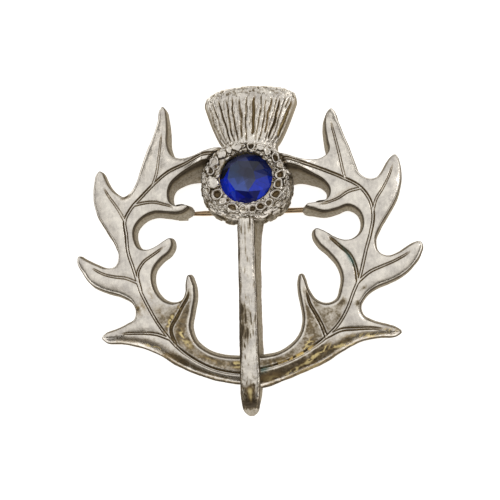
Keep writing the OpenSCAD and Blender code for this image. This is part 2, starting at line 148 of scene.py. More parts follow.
def smooth(points, step, closed=False):
    """A smooth curve through points at even steps: each tangent weighs the nearer neighbour more."""
    p = np.array(points, float)
    n = len(p)
    before = np.roll(p, 1, axis=0) if closed else np.vstack([p[:1], p[:-1]])
    after = np.roll(p, -1, axis=0) if closed else np.vstack([p[1:], p[-1:]])
    a, b = p - before, after - p
    la = np.linalg.norm(a, axis=1, keepdims=True)
    lb = np.linalg.norm(b, axis=1, keepdims=True)
    t = unit(np.where(la * lb > 0, unit(a) * lb + unit(b) * la, a + b))
    dense = []
    for i in range(n if closed else n - 1):
        j = (i + 1) % n
        c = np.linalg.norm(p[j] - p[i])
        count = max(LEAST_STEPS, int(c / CURVE_STEP))
        s = (np.arange(count) / count)[:, None]
        dense.append(p[i] * (2 * s**3 - 3 * s**2 + 1) + t[i] * c * (s**3 - 2 * s**2 + s)
                     + p[j] * (3 * s**2 - 2 * s**3) + t[j] * c * (s**3 - s**2))
    line = np.vstack(dense + [p[:1] if closed else p[-1:]])
    far = lengths(line)
    at = np.linspace(0, far[-1], max(3, int(round(far[-1] / step))) + 1)
    if closed:
        at = at[:-1]
    return columns(np.interp(at, far, line[:, 0]), np.interp(at, far, line[:, 1]))


def tangents(line, closed=False):
    if closed:
        return unit(np.roll(line, -1, axis=0) - np.roll(line, 1, axis=0))
    return unit(np.gradient(line, axis=0))


def nearest(points, line):
    """The number of the line's vertex that is nearest to each point."""
    tree = KDTree(len(line))
    for i, (x, y) in enumerate(line.tolist()):
        tree.insert((x, y, 0), i)
    tree.balance()
    return np.array([tree.find((x, y, 0))[1] for x, y in points.tolist()])


def measured(points, line, closed=False):
    """For each point, its signed distance to a line, left of it positive, the place along the line
    in mm, and the nearest vertex of the line."""
    near = nearest(points, line)
    n = len(line)
    step = np.linalg.norm(line[1] - line[0])
    best = np.full(len(points), np.inf)
    side = np.ones(len(points))
    along = np.zeros(len(points))
    for back in (1, 0):
        i = (near - back) % n if closed else np.clip(near - back, 0, n - 2)
        a, b = line[i], line[(i + 1) % n]
        ab, ap = b - a, points - a
        t = np.clip((ap * ab).sum(1) / np.maximum((ab * ab).sum(1), 1e-12), 0, 1)
        d = np.linalg.norm(ap - ab * t[:, None], axis=1)
        closer = d < best
        best = np.where(closer, d, best)
        side = np.where(closer, np.sign(ab[:, 0] * ap[:, 1] - ab[:, 1] * ap[:, 0]), side)
        along = np.where(closer, (i + t) * step, along)
    return best * np.where(side == 0, 1, side), along, near


def inside(points, ring):
    """Which points lie inside a closed ring, by counting the edges on their right, a lot at a time."""
    found = np.zeros(len(points), bool)
    a, b = ring, np.roll(ring, -1, axis=0)
    for k in range(0, len(points), LOT):
        x, y = points[k:k + LOT, 0:1], points[k:k + LOT, 1:2]
        spans = (a[:, 1] > y) != (b[:, 1] > y)
        rise = np.where(b[:, 1] == a[:, 1], 1e-12, b[:, 1] - a[:, 1])
        cross = a[:, 0] + (y - a[:, 1]) * (b[:, 0] - a[:, 0]) / rise
        found[k:k + LOT] = ((spans & (cross > x)).sum(1) % 2) == 1
    return found


# Pieces. The marks of a vertex are four values: tarnish, gold stain, verdigris, and how far it is an
# unpolished wall. Tarnish also carries painted shade, gold painted gold reflections, and the wall's colour
# painted shade.
BACK_MARKS = (0.35, 0, 0, 0.85)


def mesh_object(name, verts, faces):
    """An object of points in mm and faces."""
    mesh = bpy.data.meshes.new(name)
    mesh.from_pydata((np.asarray(verts) * MM).tolist(), [], faces)
    mesh.validate()
    obj = bpy.data.objects.new(name, mesh)
    bpy.context.scene.collection.objects.link(obj)
    return obj


def painted(obj, name, domain, colours):
    layer = obj.data.color_attributes.new(name, "FLOAT_COLOR", domain)
    layer.data.foreach_set("color", np.asarray(colours, np.float32).ravel())


def piece(name, verts, faces, marks):
    """A smooth piece of the casting, which rides on the brooch."""
    obj = mesh_object(name, verts, faces)
    painted(obj, "marks", "POINT", np.clip(marks, 0, 1))
    obj.data.shade_smooth()
    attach(obj, "brooch")
    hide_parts("casting")
    return obj


def bands(rows, count, closed=True):
    """Quads between rows of count points each."""
    faces = []
    for a in range(0, (rows - 1) * count, count):
        for i in range(count if closed else count - 1):
            j = (i + 1) % count
            faces.append((a + i, a + j, a + count + j, a + count + i))
    return faces


# The leaves. A row of a wing is one lobe: the step of the main vein that its own vein leaves, the
# vein's points, the outline up to its tip, the tip, and the outline after it.
JOINT, VEIN, RISE, TIP, FALL = range(5)
MAIN_STEPS = 38
left_main = [(-3, 15.1), (-7, 14.9), (-10, 13.9), (-12.8, 12.9), (-15.1, 11.2), (-17.2, 9.2),
    (-19.2, 7), (-20, 5.4), (-19.8, 3), (-19.5, 0), (-18.8, -2.2), (-18.2, -4.2), (-17.5, -6.4),
    (-16.4, -8.7), (-14.9, -11.4), (-13.2, -13.8), (-11.2, -15.9), (-8.7, -17.7), (-6, -19),
    (-3, -19.7), (0, -19.9)]
left_lobes = [
    (9, [(-14.8, 12.8), (-14.45, 15.3), (-14.2, 17.9), (-14.05, 20.6)],
        [(-2.5, 15.4), (-4.8, 16), (-7, 15.5), (-9, 15.1), (-11, 15.1), (-12.3, 15.8), (-13.1, 17.6),
            (-13.25, 20.8), (-13.5, 23.3), (-13.75, 24.5)],
        (-14.1, 24.9),
        [(-14.5, 24.5), (-14.8, 22.5), (-15.4, 20), (-16.6, 16.9), (-17.5, 14), (-18.35, 11.4),
            (-19.2, 10.1)]),
    (14, [(-20.9, 6.9), (-21.8, 8.3), (-22.9, 9.9), (-23.9, 11.7)],
        [(-20.3, 9.5), (-21.6, 10.1), (-22.8, 11.4), (-23.6, 13), (-24, 13.9)],
        (-24.45, 14.3),
        [(-24.9, 13.9), (-25.35, 12.2), (-25.45, 9.9), (-24.85, 7.1), (-23.35, 4.4), (-21.7, 1.6)]),
    (21, [(-20, -4), (-21.7, -3.7), (-23.4, -3.2), (-26.2, -1.6)],
        [(-21.15, -0.5), (-21.65, -1.8), (-23.1, -2.2), (-25, -1.5), (-27, -0.4)],
        (-28, 0.1),
        [(-28.15, -0.5), (-27.2, -2.7), (-25.6, -4.7), (-23.4, -5.8), (-20.8, -6.7), (-19.1, -7.8)]),
    (28, [(-15, -13.2), (-17, -12.9), (-19.2, -12.8), (-21.6, -12.8)],
        [(-18.45, -9.3), (-18.7, -10.5), (-20.1, -11.4), (-22.2, -12.2), (-23.8, -12.7)],
        (-24.3, -13.2),
        [(-23.9, -13.7), (-21, -14.2), (-18, -14.9), (-15.4, -16), (-12, -18.1), (-8.5, -19.7),
            (-5, -20.8), (-2, -21.3), (0.5, -21.4)]),
    (29, [(-12.75, -12.3), (-11.8, -10.6), (-10.8, -8.8), (-9.95, -7.3), (-9.75, -6)],
        [(0.8, -19.5), (0.5, -17.7), (-2.5, -17.3), (-4.9, -17), (-7.4, -16), (-9.15, -14.3),
            (-9.75, -12.3), (-9.36, -9.8), (-8.92, -7.2), (-9.2, -5.1)],
        (-9.9, -3.95),
        [(-10.15, -4.7), (-10.3, -6.5), (-11, -7.9)]),
    (22, [(-17.9, -2.9), (-17, -1.5), (-15.6, -0.5), (-13.1, 1.15)],
        [(-12.2, -8.35), (-13.7, -8), (-15.05, -6.7), (-15.75, -4.9), (-15.6, -2.8), (-14.35, -1.15),
            (-12.85, 0.1), (-12.4, 1.25)],
        (-12.8, 2.2),
        [(-13.4, 1.95), (-14.9, 1.05), (-16.5, 0.5)]),
    (12, [(-16.8, 8.15), (-15.2, 8.15), (-13.6, 7.7), (-11.6, 7)],
        [(-17.8, 0.75), (-18.6, 2.2), (-18.6, 4.1), (-17.4, 5.7), (-15.3, 6.6), (-13, 6.4),
            (-11.2, 6.2), (-10.2, 6.5)],
        (-9.65, 7.1),
        [(-10.4, 7.35), (-11.5, 7.3), (-12.6, 7.95), (-12.95, 9.3), (-12.5, 11), (-11, 12.3),
            (-9, 13.3), (-6.5, 14), (-3, 14.2)])]

right_main = [(3, 13.6), (6, 13.8), (9, 13.3), (12, 12.4), (15.2, 11.1), (17.9, 9.6), (19.4, 7.5),
    (19.9, 5), (19.4, 2), (18.6, -0.8), (18, -3.2), (17.5, -5), (16.4, -7.5), (15.4, -10),
    (14, -12.3), (11.9, -14.4), (9.5, -16.1), (6.5, -17.7), (3.2, -18.8), (0, -19.4)]
right_lobes = [
    (9, [(15.2, 12.8), (14.8, 15), (14.25, 17.6), (13.7, 20.2), (13.5, 21.8)],
        [(2.5, 14.6), (5, 14.8), (7.5, 14.2), (10, 14), (11.9, 14.4), (13.15, 15.7), (12.95, 17.7),
            (12.65, 20.2), (12.8, 22.2), (13.2, 23.1)],
        (13.6, 23.4),
        [(14.05, 23), (14.6, 21.4), (15.5, 18.8), (16.45, 16.2), (17.25, 13.7), (18, 11.9)]),
    (14, [(20.5, 7.6), (21.4, 9.1), (22.3, 10.8), (23.1, 12.9), (23.45, 14.2)],
        [(19.6, 11.05), (20.9, 11.5), (21.8, 12.7), (22.65, 14.3), (23.25, 15.1)],
        (23.7, 15.3),
        [(24.1, 14.9), (24.5, 13.3), (24.5, 10.9), (23.7, 8), (22.3, 5.4), (20.9, 3.1)]),
    (22, [(19.2, -4.2), (21.2, -3.3), (23.4, -2.3), (26.4, -0.5)],
        [(20.1, 1), (20.5, -0.8), (21.9, -1.65), (23.8, -1.1), (25.6, 0.1), (26.6, 0.65)],
        (27.3, 0.75),
        [(27.6, 0.35), (27.3, -1.2), (26.1, -3), (24.5, -4.5), (22.2, -5.7), (20, -6.6), (18.4, -7.8)]),
    (29, [(14.5, -13.3), (16.5, -13.2), (19, -13.1), (21.6, -13.3)],
        [(17.4, -9.9), (17.9, -11.2), (19.5, -12.1), (21.8, -12.7), (23.2, -13.2)],
        (23.75, -13.7),
        [(23.3, -14.1), (20.5, -14.4), (17.3, -15), (14.5, -16.4), (11.5, -18.2), (8, -19.7),
            (4.5, -21), (2, -21.8), (-0.5, -21.9)]),
    (29, [(11.3, -12.7), (10.4, -10.8), (9.5, -9.1), (8.9, -6.8)],
        [(-0.8, -19.4), (-0.5, -17.5), (2, -17.25), (4.3, -16.8), (6.4, -15.6), (7.9, -13.9),
            (8.5, -11.6), (8.2, -8.8), (7.9, -6.6), (8, -5)],
        (8.25, -4.35),
        [(8.55, -4.9), (9.1, -6.6), (10.2, -8.4)]),
    (22, [(16.9, -3.6), (16, -1.4), (14.7, -0.2), (12.3, 2.1)],
        [(12.3, -9.2), (13.8, -8.6), (14.6, -6.7), (14.85, -4.9), (14.2, -2.8), (12.8, -0.95),
            (11.2, 0.65), (10.55, 2.05)],
        (10.7, 2.85),
        [(11.7, 2.65), (13.5, 1.6), (15.2, 1)]),
    (11, [(16.2, 8.85), (14.2, 7.6), (12.5, 7), (10.8, 6.75)],
        [(17, 1.4), (18.1, 2.6), (18.35, 4.1), (17.7, 5.8), (16, 6.7), (14.2, 6.1), (12.3, 5.7),
            (10.7, 6.05)],
        (9.4, 6.65),
        [(10.4, 7), (12, 7.25), (13, 8.1), (13.2, 9.3), (12.4, 10.6), (10.6, 11.7), (8.3, 12.7),
            (6, 12.9), (3, 12.6)])]

# How each lobe is finished: the width of its edge's rounding before and after the tip, half the width
# of its vein at the start and the end, the depth and half width of the two cuts beside it, how far the
# band between them stands above the blade, and the height of a raised rim along its inner edge
ROLL_RISE, ROLL_FALL, BAND, BAND_END, CUT, CUT_HALF, LIFT, RIM = range(8)
MAIN_FINISH = (0, 0, 0.2, 0.17, 0.21, 0.062, 0.05, 0)
left_finish = [
    (0.18, 0.4, 0.18, 0.08, 0.16, 0.06, 0.04, 0), (0.3, 0.35, 0.19, 0.08, 0.15, 0.06, 0.04, 0),
    (0.3, 0.6, 0.18, 0.1, 0.18, 0.065, 0.04, 0), (0.3, 2.1, 0.2, 0.1, 0.22, 0.075, 0.06, 0),
    (0.2, 0.2, 0.16, 0.12, 0.26, 0.09, -0.06, 0.09), (0.18, 0.2, 0.2, 0.1, 0.22, 0.08, 0.02, 0.07),
    (0.16, 0.14, 0.18, 0.1, 0.2, 0.075, 0.02, 0.03)]
right_finish = [
    (0.2, 0.35, 0.18, 0.1, 0.17, 0.062, 0.05, 0), (0.3, 0.35, 0.17, 0.08, 0.16, 0.06, 0.05, 0),
    (0.3, 0.55, 0.2, 0.1, 0.2, 0.07, 0.06, 0), (0.35, 2.1, 0.22, 0.12, 0.24, 0.09, 0.06, 0),
    (0.2, 0.2, 0.22, 0.12, 0.22, 0.08, 0.05, 0.09), (0.18, 0.18, 0.2, 0.12, 0.26, 0.11, 0, 0.06),
    (0.16, 0.14, 0.18, 0.1, 0.18, 0.07, 0.02, 0.03)]

# Stains on the front: place, half length, half width, angle of its length, and how much tarnish,
# gold and verdigris it holds. On the lower part the tarnish is partly a painted dark reflection, and the
# gold a painted gold reflection.
stains_and_reflections = [
    (16.1, -2.1, 1.3, 0.32, 120, 0.2, 0, 1), (15.3, -0.7, 1.4, 0.2, 125, 0.8, 0, 0.6),
    (13, 0.9, 0.35, 0.25, 120, 1, 0, 0), (1.9, -19.2, 0.8, 0.4, 20, 0.3, 0, 0.9),
    (-15.7, -15.05, 1.5, 0.24, -20, 0.3, 1, 0), (-13, -16.8, 2.6, 0.7, -30, 0.75, 0.2, 0),
    (-18.1, -9, 0.9, 0.4, -65, 1, 0.3, 0), (-17.2, -8.5, 1.5, 0.4, -60, 0.5, 0.2, 0),
    (-12.9, -11.2, 1.5, 0.28, 62, 0.6, 0.8, 0), (-11.1, -8.2, 1.8, 0.3, 68, 0.8, 0.5, 0),
    (-11.3, -12.6, 2.2, 0.75, 80, 0.4, 0.25, 0), (-11, -13.6, 1.2, 0.35, 105, 0.3, 0.8, 0),
    (-14.6, -9.6, 2, 0.7, -62, 0.15, 0.1, 0), (-15.9, -7, 1.6, 0.4, -75, 0.2, 0.2, 0),
    (-10.1, -8.6, 2.6, 0.5, 84, 0.3, 0, 0), (-10.2, -14.6, 1.5, 0.8, -50, 0.35, 0.4, 0),
    (-6.5, -17.3, 3, 0.5, -22, 0.25, 0.3, 0), (-2.3, -18.3, 1.3, 0.5, -5, 0.7, 0.9, 0),
    (-6, -19.9, 4, 0.45, -16, 0.45, 0.1, 0), (14.4, -8.9, 0.8, 0.55, 50, 0.9, 0, 0),
    (9.4, -12, 2.4, 0.8, 100, 0.35, 0.1, 0), (9.3, -8.4, 1.8, 0.4, 100, 0.3, 0, 0),
    (9, -15.7, 1.2, 0.55, 60, 0.4, 1, 0), (7.6, -17, 2.2, 0.25, 24, 0.5, 0.9, 0),
    (4.5, -18, 2.4, 0.5, 12, 0.6, 0.3, 0), (6.9, -19.3, 1.9, 0.26, 27, 0.3, 1, 0),
    (9.5, -17.7, 1.7, 0.3, 38, 0.3, 1, 0), (11.6, -16.3, 1.2, 0.32, 40, 0.3, 1, 0),
    (14.3, -15.7, 2, 0.28, 12, 0.5, 0.9, 0), (9, -19.2, 6, 0.8, 27, 0.55, 0.3, 0),
    (3, -20.6, 2.4, 0.8, 10, 0.5, 0.3, 0), (18.6, -14.1, 4.2, 0.45, 6, 0.6, 0.5, 0),
    (14.6, -15.3, 2.4, 0.8, 30, 0.75, 0.2, 0), (17, -9.1, 0.6, 0.45, 60, 1, 0, 0),
    (18.1, -6.8, 0.7, 0.3, 35, 0.8, 0, 0), (22, -13.4, 1.2, 0.3, -5, 0.5, 0.6, 0),
    (14.9, 8.6, 2.6, 0.14, 32, 0.3, 0.2, 0), (-23, 4.2, 1.6, 0.3, -62, 0.35, 0, 0),
    (19, -9.6, 1.2, 0.5, 60, 0.25, 0.1, 0), (20.5, 0.6, 0.5, 0.3, 80, 0.5, 0, 0),
    (-19.9, 9.4, 0.9, 0.45, 15, 1, 0, 0), (-19, -13.9, 3.6, 0.45, -6, 0.5, 0.15, 0),
    (-14.8, -15.3, 2.4, 0.8, -30, 0.45, 0.15, 0), (-17.5, 13.9, 3.4, 0.26, 72, 0.55, 0, 0)]


def stains_and_reflections_at(x, y):
    """Tarnish, gold and verdigris of the stain table at places on the plan, with its painted dark and gold
    reflections.
    """
    found = np.zeros((len(x), 3))
    for at_x, at_y, long, wide, angle, *amounts in stains_and_reflections:
        c, s = math.cos(math.radians(angle)), math.sin(math.radians(angle))
        along = ((x - at_x) * c + (y - at_y) * s) / long
        across = ((y - at_y) * c - (x - at_x) * s) / wide
        found = np.maximum(found, np.outer(np.exp(-(along**2 + across**2)), amounts))
    return found


# The net of a wing: its steps along the outline and the veins, how far the rows keep clear of the
# outline and the fill of the rows, the rows of points beside outline and veins, and the rows of the
# wall as shares of its height
EDGE_STEP, VEIN_STEP, VEIN_GRAIN, FILL_STEP, CELL = 0.19, 0.16, 0.1, 0.2, 0.04
ROW_CLEAR, EDGE_CLEAR, VEIN_CLEAR, LINE_HEIGHT, BLENDS = 0.03, 0.08, 0.06, 0.87, 12
EDGE_ROWS = (0.035, 0.08, 0.14, 0.22, 0.32, 0.44, 0.58)
VEIN_ROWS = (-0.12, -0.07, -0.035, 0, 0.035, 0.07, 0.12, 0.19)
WALL_ROWS = (0.03, 0.1, 0.22, 0.36, 0.5, 0.64, 0.78, 0.9, 0.97, 1)

# Relief of a wing's front
BULB_DIP = 2.0
PILLOW_RISE, PILLOW_REACH = 0.33, 1.9
VALLEY_DEPTH, VALLEY_HALF = 0.19, 0.62
RIM_AT, RIM_HALF = 0.3, 0.13
BURR_RISE, ARM_RIB = 0.035, 0.12
# A rounding is as deep as it is wide as far as ROLL_DEEP, and beyond that only by this share
ROLL_DEEP, ROLL_SHARE = 0.3, 0.42

# The lower arms: where they start along the main vein, the way that their threads of gold run, and on
# the left and the right how far from the vein the dark starts, how dark it is there, how much darker
# further out, and its share in all. The threads of gold are painted reflections, and the dark is partly
# tarnish and partly a painted dark reflection.
LOWER_ARM = 0.76
ARM_ANGLE = math.radians(27)
arm_looks = {1: (0.5, 0.4, 0.24, 0.9), -1: (0.3, 0.6, -0.18, 1)}


def wing_outline(lobes, finish):
    """The closed outline of a wing at even steps, the way out of it, the width of its rounding and
    the height of its rim."""
    named, rolls, rims = [], [], []
    for lobe, look in zip(lobes, finish):
        rise, fall = lobe[RISE] + [lobe[TIP]], lobe[FALL]
        named += rise + fall
        rolls += [look[ROLL_RISE]] * len(rise) + [look[ROLL_FALL]] * len(fall)
        rims += [look[RIM]] * len(rise) + [0] * len(fall)
    named, rolls, rims = np.array(named, float), np.array(rolls), np.array(rims)
    after = np.roll(named, -1, axis=0)
    if (named[:, 0] * after[:, 1] - named[:, 1] * after[:, 0]).sum() < 0:
        named, rolls, rims = named[::-1], rolls[::-1], rims[::-1]
    edge = smooth(named, EDGE_STEP, closed=True)
    out = turned(tangents(edge, closed=True))
    for _ in range(2):
        out = unit(out + 0.5 * (np.roll(out, 1, axis=0) + np.roll(out, -1, axis=0)))
    closest = np.argmin(np.linalg.norm(edge[:, None] - named[None], axis=2), axis=1)
    widths = np.stack([rolls[closest], rims[closest]])
    for _ in range(BLENDS):
        widths = (np.roll(widths, 1, axis=1) + widths + np.roll(widths, -1, axis=1)) / 3
    return edge, out, widths[0], widths[1]


def wing_plan(edge, out, veins):
    """Points and triangles of a wing's plan: rows along its veins and outline, and a fill between."""
    rows = [edge - out * row for row in EDGE_ROWS]
    beside = []
    for line, look in veins:
        steps = smooth(line[::4], VEIN_STEP)
        band = look[BAND] + (look[BAND_END] - look[BAND]) * np.linspace(0, 1, len(steps))
        left = -turned(tangents(steps))
        for row in VEIN_ROWS:
            away = left * (band + row)[:, None]
            beside += [steps + away, steps - away]
        beside.append(steps)
    rows = np.vstack(beside + rows)
    low, high = edge.min(0), edge.max(0)
    xs = np.arange(low[0], high[0], FILL_STEP)
    ys = np.arange(low[1], high[1], FILL_STEP * LINE_HEIGHT)
    grid = np.stack(np.meshgrid(xs, ys), axis=-1)
    grid[::2, :, 0] += FILL_STEP / 2
    fill = grid.reshape(-1, 2)
    fill = fill[inside(fill, edge)]
    fill = fill[np.abs(measured(fill, edge, closed=True)[0]) > EDGE_ROWS[-1] + EDGE_CLEAR]
    for line, look in veins:
        fill = fill[np.abs(measured(fill, line)[0]) > look[BAND] + VEIN_ROWS[-1] + VEIN_CLEAR]
    gap = np.abs(measured(rows, edge, closed=True)[0])
    rows = rows[inside(rows, edge) & (gap > ROW_CLEAR)]
    plan = np.vstack([rows, fill])
    _, kept = np.unique(np.floor(plan / CELL).astype(int), axis=0, return_index=True)
    points = [Vector(p) for p in edge.tolist() + plan[np.sort(kept)].tolist()]
    loop = list(range(len(edge)))
    verts, _, tris, _, _, _ = delaunay_2d_cdt(points, [], [loop], 1, 1e-7, False)
    flat = np.array([(v.x, v.y) for v in verts])
    tris = np.array(tris)
    return flat, tris[inside(flat[tris].mean(axis=1), edge)].tolist()


def vein_relief(flat, here, veins, side, seed):
    """The cuts beside the veins, their burrs, the cords between them, the valleys that they lie in,
    and what the lower arm adds: its rib, its dark inner and outer side, and its cord."""
    cuts, insides = [], []
    valley, lift, burr = np.zeros((3, len(flat)))
    for k, (line, look) in enumerate(veins):
        away, along, _ = measured(flat, line)
        inward = away * side > 0
        away = np.abs(away)
        length = VEIN_GRAIN * (len(line) - 1)
        share = along / length
        ends = falling(share, 1, 0.22) * falling(along, length, 0.3) if k else np.ones(len(flat))
        band = (look[BAND] + (look[BAND_END] - look[BAND]) * share) * (0.3 + 0.7 * ends)
        cut, half = look[CUT], look[CUT_HALF]
        if k == 0:
            # Past the last joint the main vein has one deep line on its inner side and a rib on the other
            low = rising(share, LOWER_ARM, 0.05)
            upper_arm = falling(share, 0.5, 0.12) * ~inward
            cut = cut * (1 + low * np.where(inward, 0.6, -0.75)) * (1 + 0.45 * upper_arm)
            half = half * (1 + low * np.where(inward, 0.6, 0)) * (1 + 0.5 * upper_arm)
            rib = ARM_RIB * low * bell(away, 0.35, 0.3) * ~inward
            # The lower arm's dark inner and outer sides are partly tarnish and partly a painted dark
            # reflection
            inner_low = inward * rising(share, 0.61, 0.08)
            bare, dark, darker, _ = arm_looks[side]
            outer_low = ~inward * rising(share, 0.74, 0.06) * rising(away, bare, 0.3)
            outer_low = outer_low * (dark + darker * rising(away, 0.9, 1.3))
            cord_mark = smoothstep((band - away) / 0.06 + 0.2) * falling(share, 0.42, 0.2)
        waver = 0.85 + 0.3 * lumps(here, 2.2, seed + 5 + k)
        cuts.append(cut * ends * waver * bell(away, band, half))
        burr = np.maximum(burr, 0.9 * ends * bell(away, band + 2.3 * half, half))
        insides.append(ends * smoothstep((band - away) / 0.06 + 0.2))
        valley = np.maximum(valley, ends * bell(away, 0, VALLEY_HALF))
        cord = np.sqrt(np.maximum(0, 1 - (away / band) ** 2))
        lift = np.where(away < band, 1.7 * look[LIFT] * ends * cord, lift)
    # A cut stops where it would cross another vein's band
    groove = np.zeros(len(flat))
    for k, cut in enumerate(cuts):
        for other in insides[:k] + insides[k + 1:]:
            cut = cut * (1 - other)
        groove = np.maximum(groove, cut)
    return groove, burr, lift, valley, rib, inner_low, outer_low, cord_mark


def wing_wall(edge, out, foot, top_z, seed):
    """Rows of the outline's points from below the shoulder to the foot, and their marks."""
    foot_z = back_z(*foot.T)
    rows = []
    for t in WALL_ROWS:
        p = edge * (1 - t) + foot * t
        z = top_z * (1 - t) + foot_z * t
        rough = layered(columns(*p.T, z), (0.07, 1.4, seed + 8), (0.03, 0.5, seed + 9))
        push = rough * min(1, 4 * t * (1 - t) + 0.15) - 0.1 * rising(t, 0.85, 0.15)
        rows.append(columns(*(p + out * push[:, None]).T, z))
    share = np.repeat(WALL_ROWS, len(edge))
    # The wall is darkest just below the shoulder and takes the darker wall colour: dull unpolished metal
    # with painted shade
    tarnish_and_shade = 0.1 + 0.8 * rising(share, 0, 0.05) * falling(share, 0.42, 0.4)
    return rows, columns(tarnish_and_shade, 0, 0, rising(share, 0, 0.16))


def wing(name, main, lobes, finish, side, seed):
    edge, out, roll, rim_rise = wing_outline(lobes, finish)
    main_line = smooth(main, VEIN_GRAIN)
    veins = [(main_line, MAIN_FINISH)]
    for lobe, look in zip(lobes, finish):
        start = main_line[int(round(lobe[JOINT] / MAIN_STEPS * (len(main_line) - 1)))]
        veins.append((smooth([tuple(start)] + lobe[VEIN], VEIN_GRAIN), look))
    flat, tris = wing_plan(edge, out, veins)
    x, y = flat.T
    here = columns(x, y, 0)
    rim = nearest(edge, flat)
    gap, _, near = measured(flat, edge, closed=True)
    gap = np.abs(gap)
    r, rim_here, out_here = roll[near], rim_rise[near], out[near]

    # Height of the front over the bent back
    d = depth(x, y)
    front = back_z(x, y) + d - BULB_DIP * falling(bulb_share(x, y), 0.99, 0.12)
    fall = np.minimum(r, ROLL_DEEP + ROLL_SHARE * (r - ROLL_DEEP))
    drop = fall * (1 - np.sqrt(np.maximum(0, 1 - (1 - np.clip(gap / r, 0, 1)) ** 2)))
    drop[rim] = fall[rim]
    border = rim_here * (bell(gap, RIM_AT, RIM_HALF) - 1.6 * bell(gap, 1.0, 0.5))
    pillow = PILLOW_RISE * (1 - (1 - np.clip(gap / PILLOW_REACH, 0, 1)) ** 2)
    uneven = layered(here, (0.12, 3.6, seed), (0.05, 1.3, seed + 1), (0.008, 0.45, seed + 2))
    relief = vein_relief(flat, here, veins, side, seed)
    groove, burr, lift, valley, rib, inner_low, outer_low, cord_mark = relief
    fade = rising(gap, 0.1, 0.3)
    z = front - drop + pillow + uneven * rising(gap, 0, 0.8) + rib + border
    z = z + (lift - groove + BURR_RISE * burr - VALLEY_DEPTH * valley) * fade

    # Marks: the cuts hold tarnish, the stains lie over them, and gold lies in jagged threads. On the lower
    # part the stains are partly painted dark reflections, and the gold threads are painted gold reflections.
    dark, gold, green = stains_and_reflections_at(x, y).T
    patchy = np.clip(0.5 + layered(here, (0.4, 1.1, seed + 20), (0.3, 0.4, seed + 22)), 0, 1)
    way = np.array([math.cos(ARM_ANGLE), -side * math.sin(ARM_ANGLE)])
    streaky = columns(0.4 * (flat @ way), turned(flat) @ way, 0)
    gold_reflection_threads = falling(np.abs(lumps(streaky, 0.42, seed + 21)), 0.4, 0.26)
    # The lower arms and the stains are darkened: partly tarnish, partly a painted dark reflection
    region = inner_low * (0.21 + 0.22 * patchy) + outer_low * (0.6 + 0.8 * patchy) * arm_looks[side][3]
    region = np.minimum(region + dark * (0.35 + 0.5 * patchy) + 0.3 * cord_mark, 0.74)
    polished = bell(gap, RIM_AT, 0.17) * np.clip(rim_here / 0.06, 0, 1)
    pale_band = np.clip(2.4 * bell(gap, 0.42, 0.14) * outer_low, 0, 1)
    polished = np.maximum(polished, np.maximum(burr, pale_band))
    # Painted shade: a dark edge along the outline and the darker wall colour at it, more where the outline
    # faces the near side
    at_edge = gap / np.minimum(r, 0.55)
    near_side_shade = np.clip(0.85 - 0.2 * out_here[:, 1], 0.5, 1)
    painted_edge_shade = 0.9 * np.maximum(falling(at_edge, 0.3, 0.25), falling(gap, 0.15, 0.12)) * near_side_shade
    tarnish_and_shade = region * (1 - 0.9 * polished) + 0.8 * np.clip(groove / 0.17, 0, 1) * fade
    # Darker towards the bottom, partly tarnish and partly a painted dark reflection; the painted edge shade
    # is added
    tarnish_and_shade += 0.15 * falling(y, -1, 10) * patchy + painted_edge_shade
    gold = np.clip(1.8 * gold, 0, 1) * gold_reflection_threads + 0.36 * np.clip(groove / 0.2, 0, 1) * (0.5 + patchy)
    unpolished_edge_and_shade = np.maximum(falling(at_edge, 0.42, 0.3), falling(gap, 0.2, 0.14)) * near_side_shade
    marks = columns(tarnish_and_shade, gold, green * (0.4 + 0.8 * patchy), unpolished_edge_and_shade)

    # The foot of the wall, and the back: the same triangles, seen from behind
    edge_depth = depth(*edge.T)
    flare = wall_flare(edge_depth)
    foot = edge - edge_depth[:, None] * (edge / BEND) + out * flare[:, None]
    wall, wall_marks = wing_wall(edge, out, foot, (front - drop)[rim], seed)
    spread = np.exp(-gap / 0.9) * (flare[near] - 0.1)
    under = flat - d[:, None] * (flat / BEND) + out_here * spread[:, None]
    bed = layered(columns(*under.T, 0), (0.07, 1.5, seed + 11), (0.03, 0.5, seed + 12))
    bottom = columns(*under.T, back_z(*under.T) + rising(gap, 0, 0.6) * (0.12 + bed))
    bottom_marks = columns(0.3 + 0.3 * patchy, 0, 0, 0.8)

    # Faces: the front, the rings of the wall, and the back, whose rim is the last ring
    faces = list(tris)
    count, total = len(edge), len(flat)
    rings = [rim] + [range(total + k * count, total + (k + 1) * count) for k in range(len(wall))]
    for upper, lower in zip(rings, rings[1:]):
        for i in range(count):
            j = (i + 1) % count
            faces.append((upper[i], lower[i], lower[j], upper[j]))
    number = np.arange(total) + total + len(wall) * count
    number[rim] = rings[-1]
    faces += [(number[c], number[b], number[a]) for a, b, c in tris]
    verts = np.vstack([columns(x, y, z)] + wall + [bottom])
    marks = np.vstack([marks, wall_marks, bottom_marks])
    used = np.zeros(len(verts), bool)
    for f in faces:
        used[list(f)] = True
    renumber = np.cumsum(used) - 1
    faces = [tuple(int(renumber[i]) for i in f) for f in faces]
    return piece(name, verts[used], faces, marks[used])


